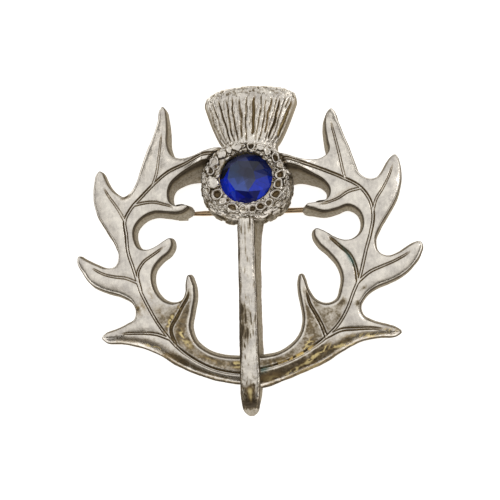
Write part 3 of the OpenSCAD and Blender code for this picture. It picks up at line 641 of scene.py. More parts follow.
# The bulb: rings of points from the seat over the pitted face and down the hammered wall to the
# back and its dish. A row of the seat gives its share of the seat's radius and the height above the
# back. A row of the face gives the height above the back, and the size as a share of the widest ring
# at the stem's side and at the head's side.
SEAT_X, SEAT_Y, SEAT_R = 0.02, 11.02, 4.33
DISH_R, DISH_DEPTH = 4.8, 1.6
BEAD_RISE, SMALL_RISE, GAP_DEPTH, PIT_DEPTH = 0.36, 0.2, 0.24, 0.36
BEAD_SEED, SMALL_TRIES = 11, 400
AROUND = 470
BULB_BASE = back_z(BULB_X, BULB_Y)
seat_rows = [(1, 3.3), (1, 4.8), (0.995, 5.7), (0.965, 6.3)]
face_rows = [(6.55, 0.69, 0.73), (6.5, 0.77, 0.86), (6.15, 0.84, 0.93), (5.5, 0.895, 0.96),
    (4.6, 0.95, 0.98), (3.2, 0.99, 1), (1.6, 1.008, 1.008), (0.4, 1.0, 1), (0, 0.975, 0.975)]
FACE_STEPS = (3, 4, 5, 6, 12, 14, 18, 16, 18, 18, 18, 13)
LIP_ROW, FACE_ROWS = sum(FACE_STEPS[:3]), 44

# Beads of the bulb's face: place on the plan, half length, half width, angle, and how far it is a
# crater with a raised rim and not a dome
beads = [
    (-1.3, 15.95, 0.72, 0.66, 0, 0.15), (0.95, 15.95, 0.8, 0.6, 90, 1), (2.45, 15.75, 0.62, 0.6, 70, 0),
    (3.5, 14.95, 0.62, 0.5, 120, 0.3), (4.8, 13.9, 0.85, 0.62, 100, 1), (5.6, 12.6, 0.6, 0.55, 20, 0.3),
    (5.55, 11.1, 0.85, 0.62, 38, 1), (5.1, 9.6, 0.75, 0.62, 80, 0.8), (4.7, 7.95, 0.85, 0.62, 25, 1),
    (3.6, 6.55, 0.72, 0.6, 60, 0.8), (2.3, 6.15, 0.85, 0.55, 15, 1), (1.0, 5.75, 0.72, 0.62, 60, 1),
    (-0.5, 5.75, 0.72, 0.6, 100, 0.6), (-2.2, 6.1, 0.9, 0.6, -28, 1), (-3.7, 7.1, 0.62, 0.5, 30, 0.3),
    (-4.5, 8.3, 0.85, 0.75, 60, 1), (-5.2, 10.2, 0.85, 0.82, 90, 0), (-6.1, 9.0, 0.6, 0.5, 80, 0.7),
    (-5.6, 12.1, 0.72, 0.62, 100, 0.8), (-5.0, 13.6, 0.85, 0.7, 60, 0.25), (-3.7, 14.7, 0.62, 0.55, 50, 0),
    (-2.6, 15.4, 0.5, 0.45, 70, 0.2), (-6.3, 10.8, 0.5, 0.4, 80, 0.9), (6.3, 10.0, 0.6, 0.45, 90, 0.8)]

# Rings of longer grains down the wall: height, share of the bulb's size, and number
SIDE_RINGS = ((5.2, 0.93, 30), (4.3, 0.965, 28), (3.2, 0.99, 28), (2.1, 1.0, 26), (1.0, 1.0, 26))


def bulb_ring(a, share, height):
    c, s = np.cos(a), np.sin(a)
    full = (np.abs(c) ** BULB_POWER + np.abs(s) ** BULB_POWER) ** (-1 / BULB_POWER)
    x, y = BULB_X + BULB_RX * share * full * c, BULB_Y + BULB_RY * share * full * s
    return columns(x, y, BULB_BASE + height)


def bulb_rows(a):
    """The rings of the bulb before its relief, from the seat to the foot."""
    spokes = columns(np.cos(a), np.sin(a), 0)
    uneven = 1 + 0.03 * lumps(9 * spokes, 1.6, 37)[:, None]
    hood = 1 - 0.055 * np.maximum(0, np.cos(a - math.radians(120)))[:, None]
    key = []
    for size, z in seat_rows:
        share = size * (uneven * hood if size < 0.99 else 1)
        key.append(SEAT_R * spokes * share + [SEAT_X, SEAT_Y, BULB_BASE + z])
    up = np.maximum(0, np.sin(a)) ** 2
    key += [bulb_ring(a, near * (1 - up) + far * up, height) for height, near, far in face_rows]
    rows = []
    for k, n in enumerate(FACE_STEPS):
        rows += [key[k] * (1 - t) + key[k + 1] * t for t in np.arange(n) / n]
    return evened(np.array(rows + [key[-1]]), 3)


def bead_places(face):
    """Middle, long way, half length, half width, pit and height of each bead: those of the table,
    small ones in the gaps between them, and the grains of the wall."""
    chance = random.Random(BEAD_SEED)
    places = []

    def level(t):
        return np.array([math.cos(t), math.sin(t), 0])

    for x, y, long, wide, angle, pit in beads:
        middle = face[np.argmin((face[:, 0] - x) ** 2 + (face[:, 1] - y) ** 2)]
        places.append((middle, level(math.radians(angle)), 1.12 * long, 1.12 * wide, pit, BEAD_RISE))
    for _ in range(SMALL_TRIES):
        middle = face[chance.randrange(len(face))]
        if min(np.linalg.norm(middle - q[0]) - 0.75 * q[2] for q in places) > 0.22:
            way = level(chance.uniform(0, math.pi))
            size = chance.uniform(0.3, 0.45)
            places.append((middle, way, size, 0.8 * size, chance.choice((0, 0, 0.6, 1)), SMALL_RISE))
    for height, share, number in SIDE_RINGS:
        for i in range(number):
            turn = 2 * math.pi * (i + chance.uniform(-0.35, 0.35)) / number
            middle = bulb_ring(np.array([turn]), share, height + chance.uniform(-0.3, 0.3))[0]
            t = turn + math.pi / 2 + chance.uniform(-0.5, 0.5)
            way = unit(np.array([math.cos(t), math.sin(t), chance.uniform(-0.5, 0.5)]))
            places.append((middle, way, chance.uniform(0.7, 1.0), chance.uniform(0.42, 0.6),
                           chance.uniform(0, 1) ** 2, chance.uniform(0.16, 0.3)))
    return places


def bead_relief(flat, places):
    """Height of the beads at points, how dark the floor of a pit is, and the distance to the nearest
    bead's middle as a share of its size."""
    closest = np.full(len(flat), 9.0)
    relief = np.full(len(flat), -0.14)
    floor_dark = np.zeros(len(flat))
    warp = columns(*(lumps(flat, 0.75, seed) for seed in (61, 62, 63)))
    for middle, way, long, wide, pit, rise in places:
        v = flat - middle + 0.16 * warp
        along = v @ way
        across = np.sqrt(np.maximum(0, (v * v).sum(1) - along**2))
        q = np.sqrt((along / long) ** 2 + (across / wide) ** 2)
        won = q < np.minimum(closest, 1.3)
        dome = rise * np.sqrt(np.maximum(0, 1 - (q / 1.15) ** 2)) - 0.06
        crater = rise * bell(q, 0.82, 0.24) - PIT_DEPTH * falling(q, 0.7, 0.35) - 0.04
        relief = np.where(won, dome * (1 - pit) + crater * pit, relief)
        floor_dark = np.where(won, pit * falling(q, 0.66, 0.2), floor_dark)
        closest = np.where(won, q, closest)
    return relief, floor_dark, closest


def bulb_back(a, rim):
    """Rings from the foot over the flat back and into the dish."""
    middle = np.array([BULB_X, BULB_Y])
    spokes = columns(np.cos(a), np.sin(a))
    rows = [columns(*(rim * (1 - t) + (middle + DISH_R * spokes) * t).T, BULB_BASE) for t in (0.35, 0.7, 1)]
    ball = (DISH_R**2 + DISH_DEPTH**2) / (2 * DISH_DEPTH)
    for t in np.linspace(0.93, 0.04, 15):
        z = BULB_BASE + DISH_DEPTH - ball + math.sqrt(ball**2 - (DISH_R * t) ** 2)
        rows.append(columns(*(middle + DISH_R * t * spokes).T, z))
    back = np.vstack(rows)
    back[:, 2] += 0.05 * lumps(back, 1.2, 35)
    return back


def bulb():
    a = np.arange(AROUND) * 2 * math.pi / AROUND
    rows = bulb_rows(a)
    count = len(rows)
    around = np.roll(rows, -1, axis=1) - np.roll(rows, 1, axis=1)
    normal = normals(np.gradient(rows, axis=0), around, (count // 2, 0), 0).reshape(-1, 3)
    flat = rows.reshape(-1, 3)
    places = bead_places(flat[LIP_ROW * AROUND:(LIP_ROW + FACE_ROWS) * AROUND])
    relief, floor_dark, closest = bead_relief(flat, places)
    gaps = rising(closest, 1.0, 0.2)
    relief = relief * (1 - gaps) - GAP_DEPTH * gaps
    relief = relief + layered(flat, (0.06, 0.6, 31), (0.05, 0.28, 32), (0.015, 0.14, 36))
    row_at = np.repeat(np.arange(count), AROUND)
    face = rising(row_at, LIP_ROW - 3, 4)
    flat = flat + normal * (relief * face * falling(row_at, count - 2, 8))[:, None]
    cloud = 0.5 + 0.5 * lumps(flat, 0.7, 33)
    creases = 0.62 * bell(closest, 1.05, 0.14) + 0.32 * gaps
    # Painted light and shade on the bulb's near lower side: lighter creases and a slightly darker low wall.
    # The low wall all round takes the darker wall colour, partly painted shade
    painted_lower_side = np.clip((BULB_Y - 1 - flat[:, 1]) / 4, 0, 1)
    low_wall = falling(flat[:, 2], BULB_BASE + 4.9, 2) * face
    tarnish_and_shade = np.maximum(floor_dark, creases) * (0.6 + 0.6 * cloud) * face + (1 - face) * 0.5
    tarnish_and_shade = tarnish_and_shade * (1 - 0.35 * painted_lower_side) + 0.16 * painted_lower_side * low_wall
    gold = 0.5 * floor_dark * np.clip(0.3 + lumps(flat, 1.8, 34), 0, 1) + (1 - face) * 0.85
    marks = columns(tarnish_and_shade, gold, 0, (0.85 + 0.1 * painted_lower_side) * low_wall)
    back = bulb_back(a, flat[-AROUND:, :2])
    verts = np.vstack([flat, back])
    total = len(verts) // AROUND
    faces = bands(total, AROUND)
    faces.append(tuple(range(AROUND - 1, -1, -1)))
    faces.append(tuple((total - 1) * AROUND + i for i in range(AROUND)))
    marks = np.vstack([marks, np.full((len(back), 4), BACK_MARKS)])
    return piece("bulb", verts, [f[::-1] for f in faces], marks)


# The flower head. A groove is its place across the fan at the middle of its length, its half width
# and depth in mm, where it starts and ends as a share of the length, and how brown its floor is.
HEAD_X, NECK_Y, LIP_Y, HEAD_DEPTH = 0.35, 17.3, 26.1, 5.1
NECK_HALF, LIP_HALF, LIP_R = 3.8, 6.85, 1.05
FLARE, FAN_TURN, SIDE_R, BACK_COUNT = 0.74, 78, 0.7, 14
NECK_OVERLAP, FAN_DROP, DROP_TURN, LIP_BOW, BOW_AT = 0.16, 2.6, 80, 0.65, 0.21
LENGTH_ROWS, LIP_ROWS, END_ROWS, HEAD_COLUMNS = 118, 12, 8, 330
grooves = [
    (-6.3, 0.12, 0.2, 0, 0.95, 0), (-5.65, 0.12, 0.22, 0.1, 0.9, 0), (-4.99, 0.14, 0.26, 0, 0.97, 0.1),
    (-3.95, 0.12, 0.34, 0, 0.95, 0.2), (-3.45, 0.07, 0.12, 0.3, 0.9, 0), (-2.99, 0.1, 0.28, 0, 0.92, 0.1),
    (-2.5, 0.06, 0.1, 0.1, 0.8, 0), (-2.11, 0.1, 0.28, 0, 0.97, 0.2), (-1.5, 0.06, 0.1, 0.2, 0.95, 0),
    (-0.99, 0.15, 0.24, 0.05, 0.9, 0.3), (-0.5, 0.06, 0.12, 0.1, 0.7, 0), (-0.03, 0.09, 0.26, 0, 0.95, 0.1),
    (0.6, 0.06, 0.1, 0.3, 0.95, 0), (1.25, 0.17, 0.42, 0.12, 0.93, 0.7), (1.75, 0.06, 0.12, 0, 0.8, 0),
    (2.21, 0.08, 0.22, 0, 0.97, 0), (3.01, 0.09, 0.24, 0, 0.9, 0.1), (3.73, 0.14, 0.28, 0.15, 0.9, 0.9),
    (4.37, 0.08, 0.2, 0, 0.97, 0), (4.93, 0.17, 0.38, 0.05, 0.9, 0.2), (5.57, 0.09, 0.26, 0, 0.95, 0.1),
    (6.37, 0.19, 0.38, 0.1, 0.93, 0.8), (7.17, 0.12, 0.26, 0, 0.95, 0.1), (6.05, 0.14, 0.3, 0.7, 0.97, 0.5)]


def head_ring(u, t, cap, wall):
    """A row across the head at a share of its length, of its lip's rounding and of its end wall: the
    left side, the front arc and the right side."""
    far = max(0.0, t)
    half = NECK_HALF + (LIP_HALF - NECK_HALF) * far**FLARE
    x = HEAD_X + 0.12 * t + half * np.sin(np.radians(FAN_TURN * u)) / math.sin(math.radians(FAN_TURN))
    y = NECK_Y + (LIP_Y - LIP_BOW * (u - BOW_AT) ** 2 - NECK_Y) * t
    z = back_z(x, y) + HEAD_DEPTH - FAN_DROP * (1 - np.cos(np.radians(DROP_TURN * u))) - 0.5 * t * t
    turn = np.radians(np.linspace(10, 95, 16))
    sides = []
    for k, sign in ((-1, 1), (0, -1)):
        base = back_z(x[k], y[k])
        middle = z[k] - SIDE_R
        side_x = x[k] + sign * SIDE_R * np.append(np.sin(turn), (0.98, 0.9, 0.75))
        side_y = y[k] - 0.85 * far * (1 - np.cos(np.append(turn, [turn[-1]] * 3)))
        low_z = base + np.array([0.35, 0.1, 0.0]) * (middle - base) / 1.6
        sides.append([side_x, side_y, np.append(middle + SIDE_R * np.cos(turn), low_z)])
    right, left = np.array(sides)
    x, y, z = np.hstack([left[:, ::-1], [x, y, z], right])
    angle = cap * math.pi / 2
    back = back_z(x, y)
    r = np.minimum(LIP_R, 0.75 * (z - back))
    y = y + LIP_R * math.sin(angle) * (1 - 0.25 * np.minimum(1, np.abs(x / LIP_HALF) ** 4))
    z = (z - r * (1 - math.cos(angle))) * (1 - wall) + back * wall
    x = (x - HEAD_X) * (1 - 0.03 * (1 - math.cos(angle))) + HEAD_X
    return columns(x, y, z)


def head_grooves(rows, middle, share, cap_at):
    """Depth of the grooves, of the valleys round them, and how brown their floors are. The groove
    table is in picture positions, which crowd where the fan turns away."""
    across = lengths(rows[middle][:, [0, 2]])
    flat_x = rows[middle][:, 0]
    place = across - np.interp(0, flat_x - HEAD_X, across)
    width = np.linalg.norm(np.gradient(rows, axis=1), axis=2)
    scale = width / np.maximum(width[middle], 1e-6)
    cut, valley, brown = np.zeros((3, *width.shape))
    on_cap = np.where(share >= 1, 0.6 * (1 - cap_at), 1)
    for k, (at, half, deep, start, end, tint) in enumerate(grooves):
        waver = 0.1 * np.sin(share * 7 + k * 1.9) + 0.05 * np.sin(share * 17 + k * 2.7)
        away = (place - np.interp(at, flat_x, place) - waver) * scale
        swell = half * (0.75 + 0.45 * np.sin(math.pi * np.clip((share - start) / (end - start), 0, 1)))
        ends = smoothstep((share - start) / 0.1 + 0.25) * falling(share, end + 0.01, 0.12)
        shape = np.exp(-np.abs(away / swell) ** 1.7) * deep * ends * on_cap
        valley = np.maximum(valley, deep * bell(away, 0, 0.33) * falling(share, 0.9, 0.3) * ends * on_cap)
        brown = np.where(shape > cut, tint, brown)
        cut = np.maximum(cut, shape)
    return cut.ravel(), valley.ravel(), brown.ravel()


def head():
    plan = [(t, 0, 0) for t in np.linspace(-NECK_OVERLAP, 1, LENGTH_ROWS)]
    plan += [(1, cap, 0) for cap in np.linspace(0.12, 1, LIP_ROWS)]
    plan += [(1, 1, wall) for wall in np.linspace(0.12, 0.97, END_ROWS)]
    u = np.linspace(-1, 1, HEAD_COLUMNS)
    rows = np.array([head_ring(u, *row) for row in plan])
    n_rows, n_cols = rows.shape[:2]
    share, cap_at, wall_at = np.array(plan).T[:, :, None]
    across, along = np.gradient(rows, axis=1), np.gradient(rows, axis=0)
    normal = normals(across, along, (n_rows // 3, n_cols // 2), 2).reshape(-1, 3)
    cut, valley, brown = head_grooves(rows, int(n_rows * 0.55), share, cap_at)
    flat = rows.reshape(-1, 3)
    hairs = layered(flat * [1, 0.16, 0.5], (0.07, 0.26, 41), (0.035, 0.13, 42))
    hairs += 0.02 * lumps(flat, 0.22, 46)
    pebble = layered(flat, (0.1, 0.5, 43), (0.07, 0.22, 44))
    lip_zone = np.repeat(rising(share, 0.9, 0.1), n_cols)
    down = np.repeat(wall_at, n_cols)
    col = np.arange(n_cols)
    on_front = np.tile(rising(np.minimum(col, n_cols - 1 - col), 7, 11), n_rows)
    push = 0.08 - (cut + 0.55 * valley) + hairs * (1 - 0.6 * lip_zone) + pebble * (0.15 + lip_zone)
    push = push * on_front * np.clip(1.3 - down, 0, 1)
    flat = flat + normal * push[:, None]
    dark = np.clip(cut / 0.34, 0, 1) ** 1.3 * on_front
    hollows = np.clip(0.5 - hairs / 0.06, 0, 1) * on_front * (1 - 0.5 * lip_zone)
    tarnish_and_shade = 0.6 * dark + 0.42 * lip_zone * np.clip(-pebble / 0.08, 0, 1) + 0.24 * hollows
    # Painted shade on the head's sides, as tarnish and as the darker wall colour, which the end wall takes
    # too
    tarnish_and_shade += 0.35 * (1 - on_front) + 0.12 * lip_zone * on_front
    marks = columns(tarnish_and_shade, (0.15 + 0.5 * brown) * dark, 0, 0.8 * down + 0.9 * (1 - on_front))

    # The back: the two ends of every row joined, with a few points between
    extra = []
    for r in range(n_rows):
        a, b = flat[r * n_cols], flat[(r + 1) * n_cols - 1]
        extra += [a + (b - a) * k / BACK_COUNT for k in range(1, BACK_COUNT)]
    extra = np.array(extra)
    extra[:, 2] = back_z(extra[:, 0], extra[:, 1])
    extra[:, 2] += 0.06 * lumps(extra, 1.4, 45)
    front_rows = np.arange(n_rows * n_cols).reshape(n_rows, n_cols)
    between = len(flat) + np.arange(len(extra)).reshape(n_rows, BACK_COUNT - 1)
    back_rows = np.hstack([front_rows[:, :1], between, front_rows[:, -1:]]).tolist()
    faces = bands(n_rows, n_cols, closed=False)
    for one, next_one in zip(back_rows, back_rows[1:]):
        faces += [(one[k], next_one[k], next_one[k + 1], one[k + 1]) for k in range(BACK_COUNT)]
    for r, way in ((0, 1), (n_rows - 1, -1)):
        loop = front_rows[r].tolist() + back_rows[r][-2:0:-1]
        faces.append(tuple(loop[::way]))
    verts = np.vstack([flat, extra])
    marks = np.vstack([marks, np.full((len(extra), 4), BACK_MARKS)])
    return piece("flower_head", verts, [f[::-1] for f in faces], marks)


# The stem: rings from the bulb to the rounded end. A row gives the place along Y, the middle, half
# the width at the front, the reach of the foot on the right, and the height of the top above the back.
stem_rows = [
    (6.6, -0.3, 1.4, 3.7, 4.7), (4.6, -0.3, 1.4, 3, 4.4), (3.4, -0.3, 1.4, 2.65, 4.3),
    (2, -0.3, 1.4, 2.4, 4.2), (-2, -0.27, 1.4, 2.15, 4), (-10, -0.27, 1.45, 2.1, 3.9),
    (-17, -0.3, 1.55, 2.15, 3.9), (-20.5, -0.32, 1.62, 2.1, 3.9), (-23, -0.4, 1.52, 1.75, 3.6),
    (-24.2, -0.45, 1.42, 1.45, 3.1), (-25, -0.48, 1.3, 1.25, 2.5), (-25.5, -0.5, 1.15, 1.1, 2),
    (-25.9, -0.5, 0.9, 0.9, 1.3), (-26.2, -0.5, 0.3, 0.3, 0.3)]
FOOT_LEFT, SHOULDER_AT = 0.28, 0.55
STEM_STEPS, ARC_STEPS = 300, 56
# Dark smudges on the stem, partly tarnish and partly a painted dark reflection: place along Y, reach, place
# and half width across, and amount
stem_spots = [(-9.4, 1.2, -1, 0.9, 0.45), (-11.6, 1.9, -0.9, 1.2, 0.62), (-13.9, 1.5, -0.8, 1, 0.5),
    (-24.5, 0.55, -0.4, 0.8, 1), (-16, 1.6, -1.4, 0.35, 0.5), (-4.6, 1, -0.2, 0.3, 0.3),
    (3.6, 0.9, 0.3, 0.5, 0.3)]


def stem_ring(y, mid, half, foot, top):
    """A ring of the stem, from its right foot over the front to its left foot."""
    low = max(0.0, float(back_z(0, y)))
    shoulder = low + top * SHOULDER_AT
    angle = np.radians(np.linspace(0, 180, ARC_STEPS))
    arc_x = mid + half * np.sign(np.cos(angle)) * np.abs(np.cos(angle)) ** 0.6
    arc_z = shoulder + top * (1 - SHOULDER_AT) * np.sin(angle) ** 0.5
    t = np.linspace(0.08, 0.94, 12)
    wall_z = low + (shoulder - low) * t
    left_foot = min(half + FOOT_LEFT, foot)
    right_x = mid + foot + (half - foot) * t**0.7
    left_x = mid - left_foot - (half - left_foot) * t[::-1]
    x = np.concatenate([right_x, arc_x, left_x])
    return columns(x, y, np.concatenate([wall_z, arc_z, wall_z[::-1]]))


def stem():
    table = np.array(stem_rows)[::-1]
    ys = np.linspace(table[0, 0], table[-1, 0], STEM_STEPS)
    sizes = evened(columns(*(np.interp(ys, table[:, 0], table[:, k]) for k in (1, 2, 3, 4))), 10)
    rings = np.array([stem_ring(y, *size) for y, size in zip(ys, sizes)])
    n_rows, n_cols = rings.shape[:2]
    along, across = np.gradient(rings, axis=0), np.gradient(rings, axis=1)
    normal = normals(along, across, (n_rows // 2, n_cols // 2), 2).reshape(-1, 3)
    flat = rings.reshape(-1, 3)
    dents = 0.09 * lumps(flat * [1, 0.55, 1], 1.3, 51) + layered(flat, (0.035, 0.55, 52), (0.012, 0.22, 53))
    streaks = lumps(flat * [1, 0.1, 1], 0.22, 56)
    dents = (dents + 0.028 * streaks) * rising(flat[:, 1], ys[0] + 0.1, 1.2)
    flat = flat + normal * dents[:, None]
    x, y, z = flat.T

    # Marks, in part by how many columns of the ring a point is from its ends
    col = np.tile(np.arange(n_cols), n_rows)
    low = np.minimum(col, n_cols - 1 - col)
    end = falling(y, -25, 0.5)
    # The feet, the walls and the end take the darker wall colour, partly painted shade
    wall = np.maximum(1 - rising(low, 18, 5), 0.85 * end)
    on_left = x < -0.3
    # Painted shade along the shoulders, stronger on the left
    shoulder = bell(low, np.where(on_left, 19, 18), np.where(on_left, 6.0, 4.0))
    tarnish_and_shade = 0.05 * wall + np.where(on_left, 1.1, 0.7) * shoulder * (1 - end)
    tarnish_and_shade += 0.85 * np.clip(streaks - 0.05, 0, 1) * (z > 2)
    # Painted highlights on both sides near the end keep the tarnish off there; towards the end the stem is
    # darker
    painted_side_highlights = 0.7 * rising(np.abs(x + 0.4), 0.65, 0.4) * rising(y, -24.2, 0.8)
    tarnish_and_shade += 0.5 * falling(y, -20.8, 1.6) * (1 - end) * (1 - painted_side_highlights)
    mottle = np.clip(0.5 + lumps(flat * [2.2, 0.7, 1], 0.8, 54), 0, 1)
    patchy = (0.55 + 0.3 * mottle + 0.15 * np.clip(streaks, -0.5, 1)) * (z > 1.6)
    # Dark smudges, partly tarnish and partly a painted dark reflection
    for at, reach, x_at, wide, amount in stem_spots:
        tarnish_and_shade += amount * np.exp(-((y - at) / reach) ** 2 - ((x - x_at) / wide) ** 2) * patchy
    # A gold stain in the shape of a V
    v_width = np.maximum(0.12, 0.16 + 0.16 * (y + 24.2))
    gold = np.exp(-((y + 23.1) / 1.1) ** 4 - ((x + 0.35) / v_width) ** 2)
    faces = bands(n_rows, n_cols)
    faces += [tuple(range(n_cols))[::-1], tuple((n_rows - 1) * n_cols + i for i in range(n_cols))]
    return piece("stem", flat, faces, columns(tarnish_and_shade, gold, 0, wall))


# The pin's fittings
PIN_Y, PIN_Z, HINGE_X, CLIP_X = 6.85, 1.25, 12.6, -11.0
EYE_W, LUG_W, LUG_GAP, RIVET_R = 0.8, 0.45, 0.06, 0.45
CHEEK_W, CLIP_W, CHEEK_GAP, WIRE_D = 0.35, 1.6, 0.12, 0.85
SOLDER_AROUND, SOLDER_ROWS, SUNK = 28, 7, 0.5


def fill_between(bm, rings):
    """Faces between rings of vertices, and one over each end."""
    faces = [bm.faces.new(rings[0]), bm.faces.new(rings[-1][::-1])]
    count = len(rings[0])
    for lower, upper in zip(rings, rings[1:]):
        for i in range(count):
            j = (i + 1) % count
            faces.append(bm.faces.new((lower[i], upper[i], upper[j], lower[j])))
    bmesh.ops.recalc_face_normals(bm, faces=faces)
    return faces


def slab(bm, outline, y0, y1, bevel):
    """A plate of an outline in X and Z, between two places along Y, with its edges rounded."""
    rings = [[bm.verts.new((x * MM, y * MM, z * MM)) for x, z in outline] for y in (y0, y1)]
    ends = fill_between(bm, rings)[:2]
    edges = [edge for face in ends for edge in face.edges]
    bmesh.ops.bevel(bm, geom=edges, offset=bevel * MM, segments=3, profile=0.5, affect="EDGES")


def solder(bm, x, y, half_x, half_y, height):
    """A low mound of solder on the back, round the foot of a fitting."""
    top = back_z(x, y) + 0.25
    rings = []
    for t in np.linspace(0, 1, SOLDER_ROWS):
        z = top - height * (1 - (1 - t) ** 2)
        ring = []
        for a in np.arange(SOLDER_AROUND) * 2 * math.pi / SOLDER_AROUND:
            size = (1 + 0.12 * math.sin(3 * a + x) + 0.07 * math.sin(5 * a + 1)) * (1 - 0.96 * t)
            place = (x + half_x * size * math.cos(a), y + half_y * size * math.sin(a), z)
            ring.append(bm.verts.new(Vector(place) * MM))
        rings.append(ring)
    fill_between(bm, rings)


def arc_points(x, z, r, angles):
    return [(x + r * math.cos(t), z + r * math.sin(t)) for t in np.radians(angles)]


def build_hinge(bm):
    """Two lugs with the rivet through them."""
    top = back_z(HINGE_X, PIN_Y) + SUNK
    round_end = arc_points(HINGE_X, PIN_Z, PIN_Z, np.linspace(-180, 0, 25))
    lug = [(HINGE_X - PIN_Z, top)] + round_end + [(HINGE_X + PIN_Z, top)]
    for s in (-1, 1):
        y = PIN_Y + s * (EYE_W / 2 + LUG_GAP + LUG_W / 2)
        slab(bm, lug, y - LUG_W / 2, y + LUG_W / 2, 0.07)
    half = EYE_W / 2 + LUG_GAP + LUG_W + 0.04
    rivet = arc_points(HINGE_X, PIN_Z, RIVET_R, np.arange(0, 360, 15))
    slab(bm, rivet, PIN_Y - half, PIN_Y + half, 0.05)
    solder(bm, HINGE_X, PIN_Y, 1.9, 1.45, 0.55)


def build_clip(bm):
    """Two cheeks beside the wire, with cut corners."""
    top = back_z(CLIP_X, PIN_Y) + SUNK
    half, corner, cut = CLIP_W / 2, 0.25, 0.07
    left = [(-half, top), (-half, corner), (cut - half, cut), (corner - half, 0)]
    cheek = [(CLIP_X + x, z) for x, z in left + [(-x, z) for x, z in left[::-1]]]
    for s in (-1, 1):
        y = PIN_Y + s * (WIRE_D / 2 + CHEEK_GAP + CHEEK_W / 2)
        slab(bm, cheek, y - CHEEK_W / 2, y + CHEEK_W / 2, 0.06)
        solder(bm, CLIP_X, y + s * 0.1, 1.1, 0.5, 0.5)


def fitting(name, build):
    bm = bmesh.new()
    build(bm)
    bmesh.ops.triangulate(bm, faces=[f for f in bm.faces if len(f.verts) > 4])
    bm.verts.index_update()
    verts = np.array([v.co[:] for v in bm.verts]) / MM
    faces = [tuple(v.index for v in f.verts) for f in bm.faces]
    bm.free()
    return piece(name, verts, faces, np.full((len(verts), 4), (0.25, 0, 0, 0.6)))


# The stone: a table, eight star facets, eight mains, and a girdle, over an eight-sided pavilion.
# Its facets have tones of blue that paint reflections and the light inside the glass, and the table is laid
# out as the pavilion seen through it.
STONE_R, MID_R, CROWN_H, GIRDLE_H, PAVILION_H, CULET_R = 4.25, 3.5, 1.45, 0.3, 2.3, 0.8
STONE_AT = (0, 10.95, 5.15)
STONE_TILT = (-11, -6)
# The table is cut off centre and uneven, and so are the core inside it and its middle
HUB_SHIFT, CORE_MIDDLE = (-0.2, -0.1), (-0.3, -0.2)
table_corners = [(1.45, 0.6), (0.6, 2.4), (-1.2, 2.5), (-2.45, 1.5), (-2.75, -0.5), (-1.45, -2.5),
    (0.6, -2.85), (1.8, -0.9)]
NIGHT = (0.005, 0.008, 0.028)
NAVY = (0.001, 0.006, 0.15)
DEEP = (0.006, 0.02, 0.17)
ROYAL = (0.005, 0.034, 0.48)
BRIGHT = (0.004, 0.03, 0.7)
HAZE = (0.06, 0.07, 0.17)
SLATE = (0.02, 0.024, 0.055)
PALE = (0.04, 0.085, 0.42)
TEAL = (0.014, 0.032, 0.085)
# Tones of the crown by direction, painted light and reflections: as far as this angle, two that take turns.
# It is hazy at the top, and bright low left and low right.
crown_tones = [
    (12, (0.008, 0.036, 0.28), DEEP), (75, (0.004, 0.014, 0.12), (0.003, 0.008, 0.065)),
    (118, HAZE, HAZE), (150, HAZE, (0.04, 0.05, 0.13)), (182, NIGHT, (0.008, 0.012, 0.06)),
    (232, BRIGHT, (0.003, 0.026, 0.5)), (256, (0.003, 0.01, 0.3), ROYAL),
    (300, NAVY, (0.001, 0.005, 0.11)), (360, (0.003, 0.024, 0.42), (0.003, 0.028, 0.52))]
# Tones of the table's eight wedges, of the core inside them, and how far in the core's corners lie. The
# tones are painted reflections.
wedge = [SLATE, SLATE, TEAL, TEAL, PALE, (0.05, 0.1, 0.42), (0.045, 0.06, 0.15), SLATE]
core = [SLATE, SLATE, SLATE, TEAL, (0.02, 0.04, 0.13), (0.03, 0.055, 0.2), SLATE, SLATE]
core_shares = (0.45, 0.4, 0.45, 0.5, 0.52, 0.62, 0.3, 0.5)


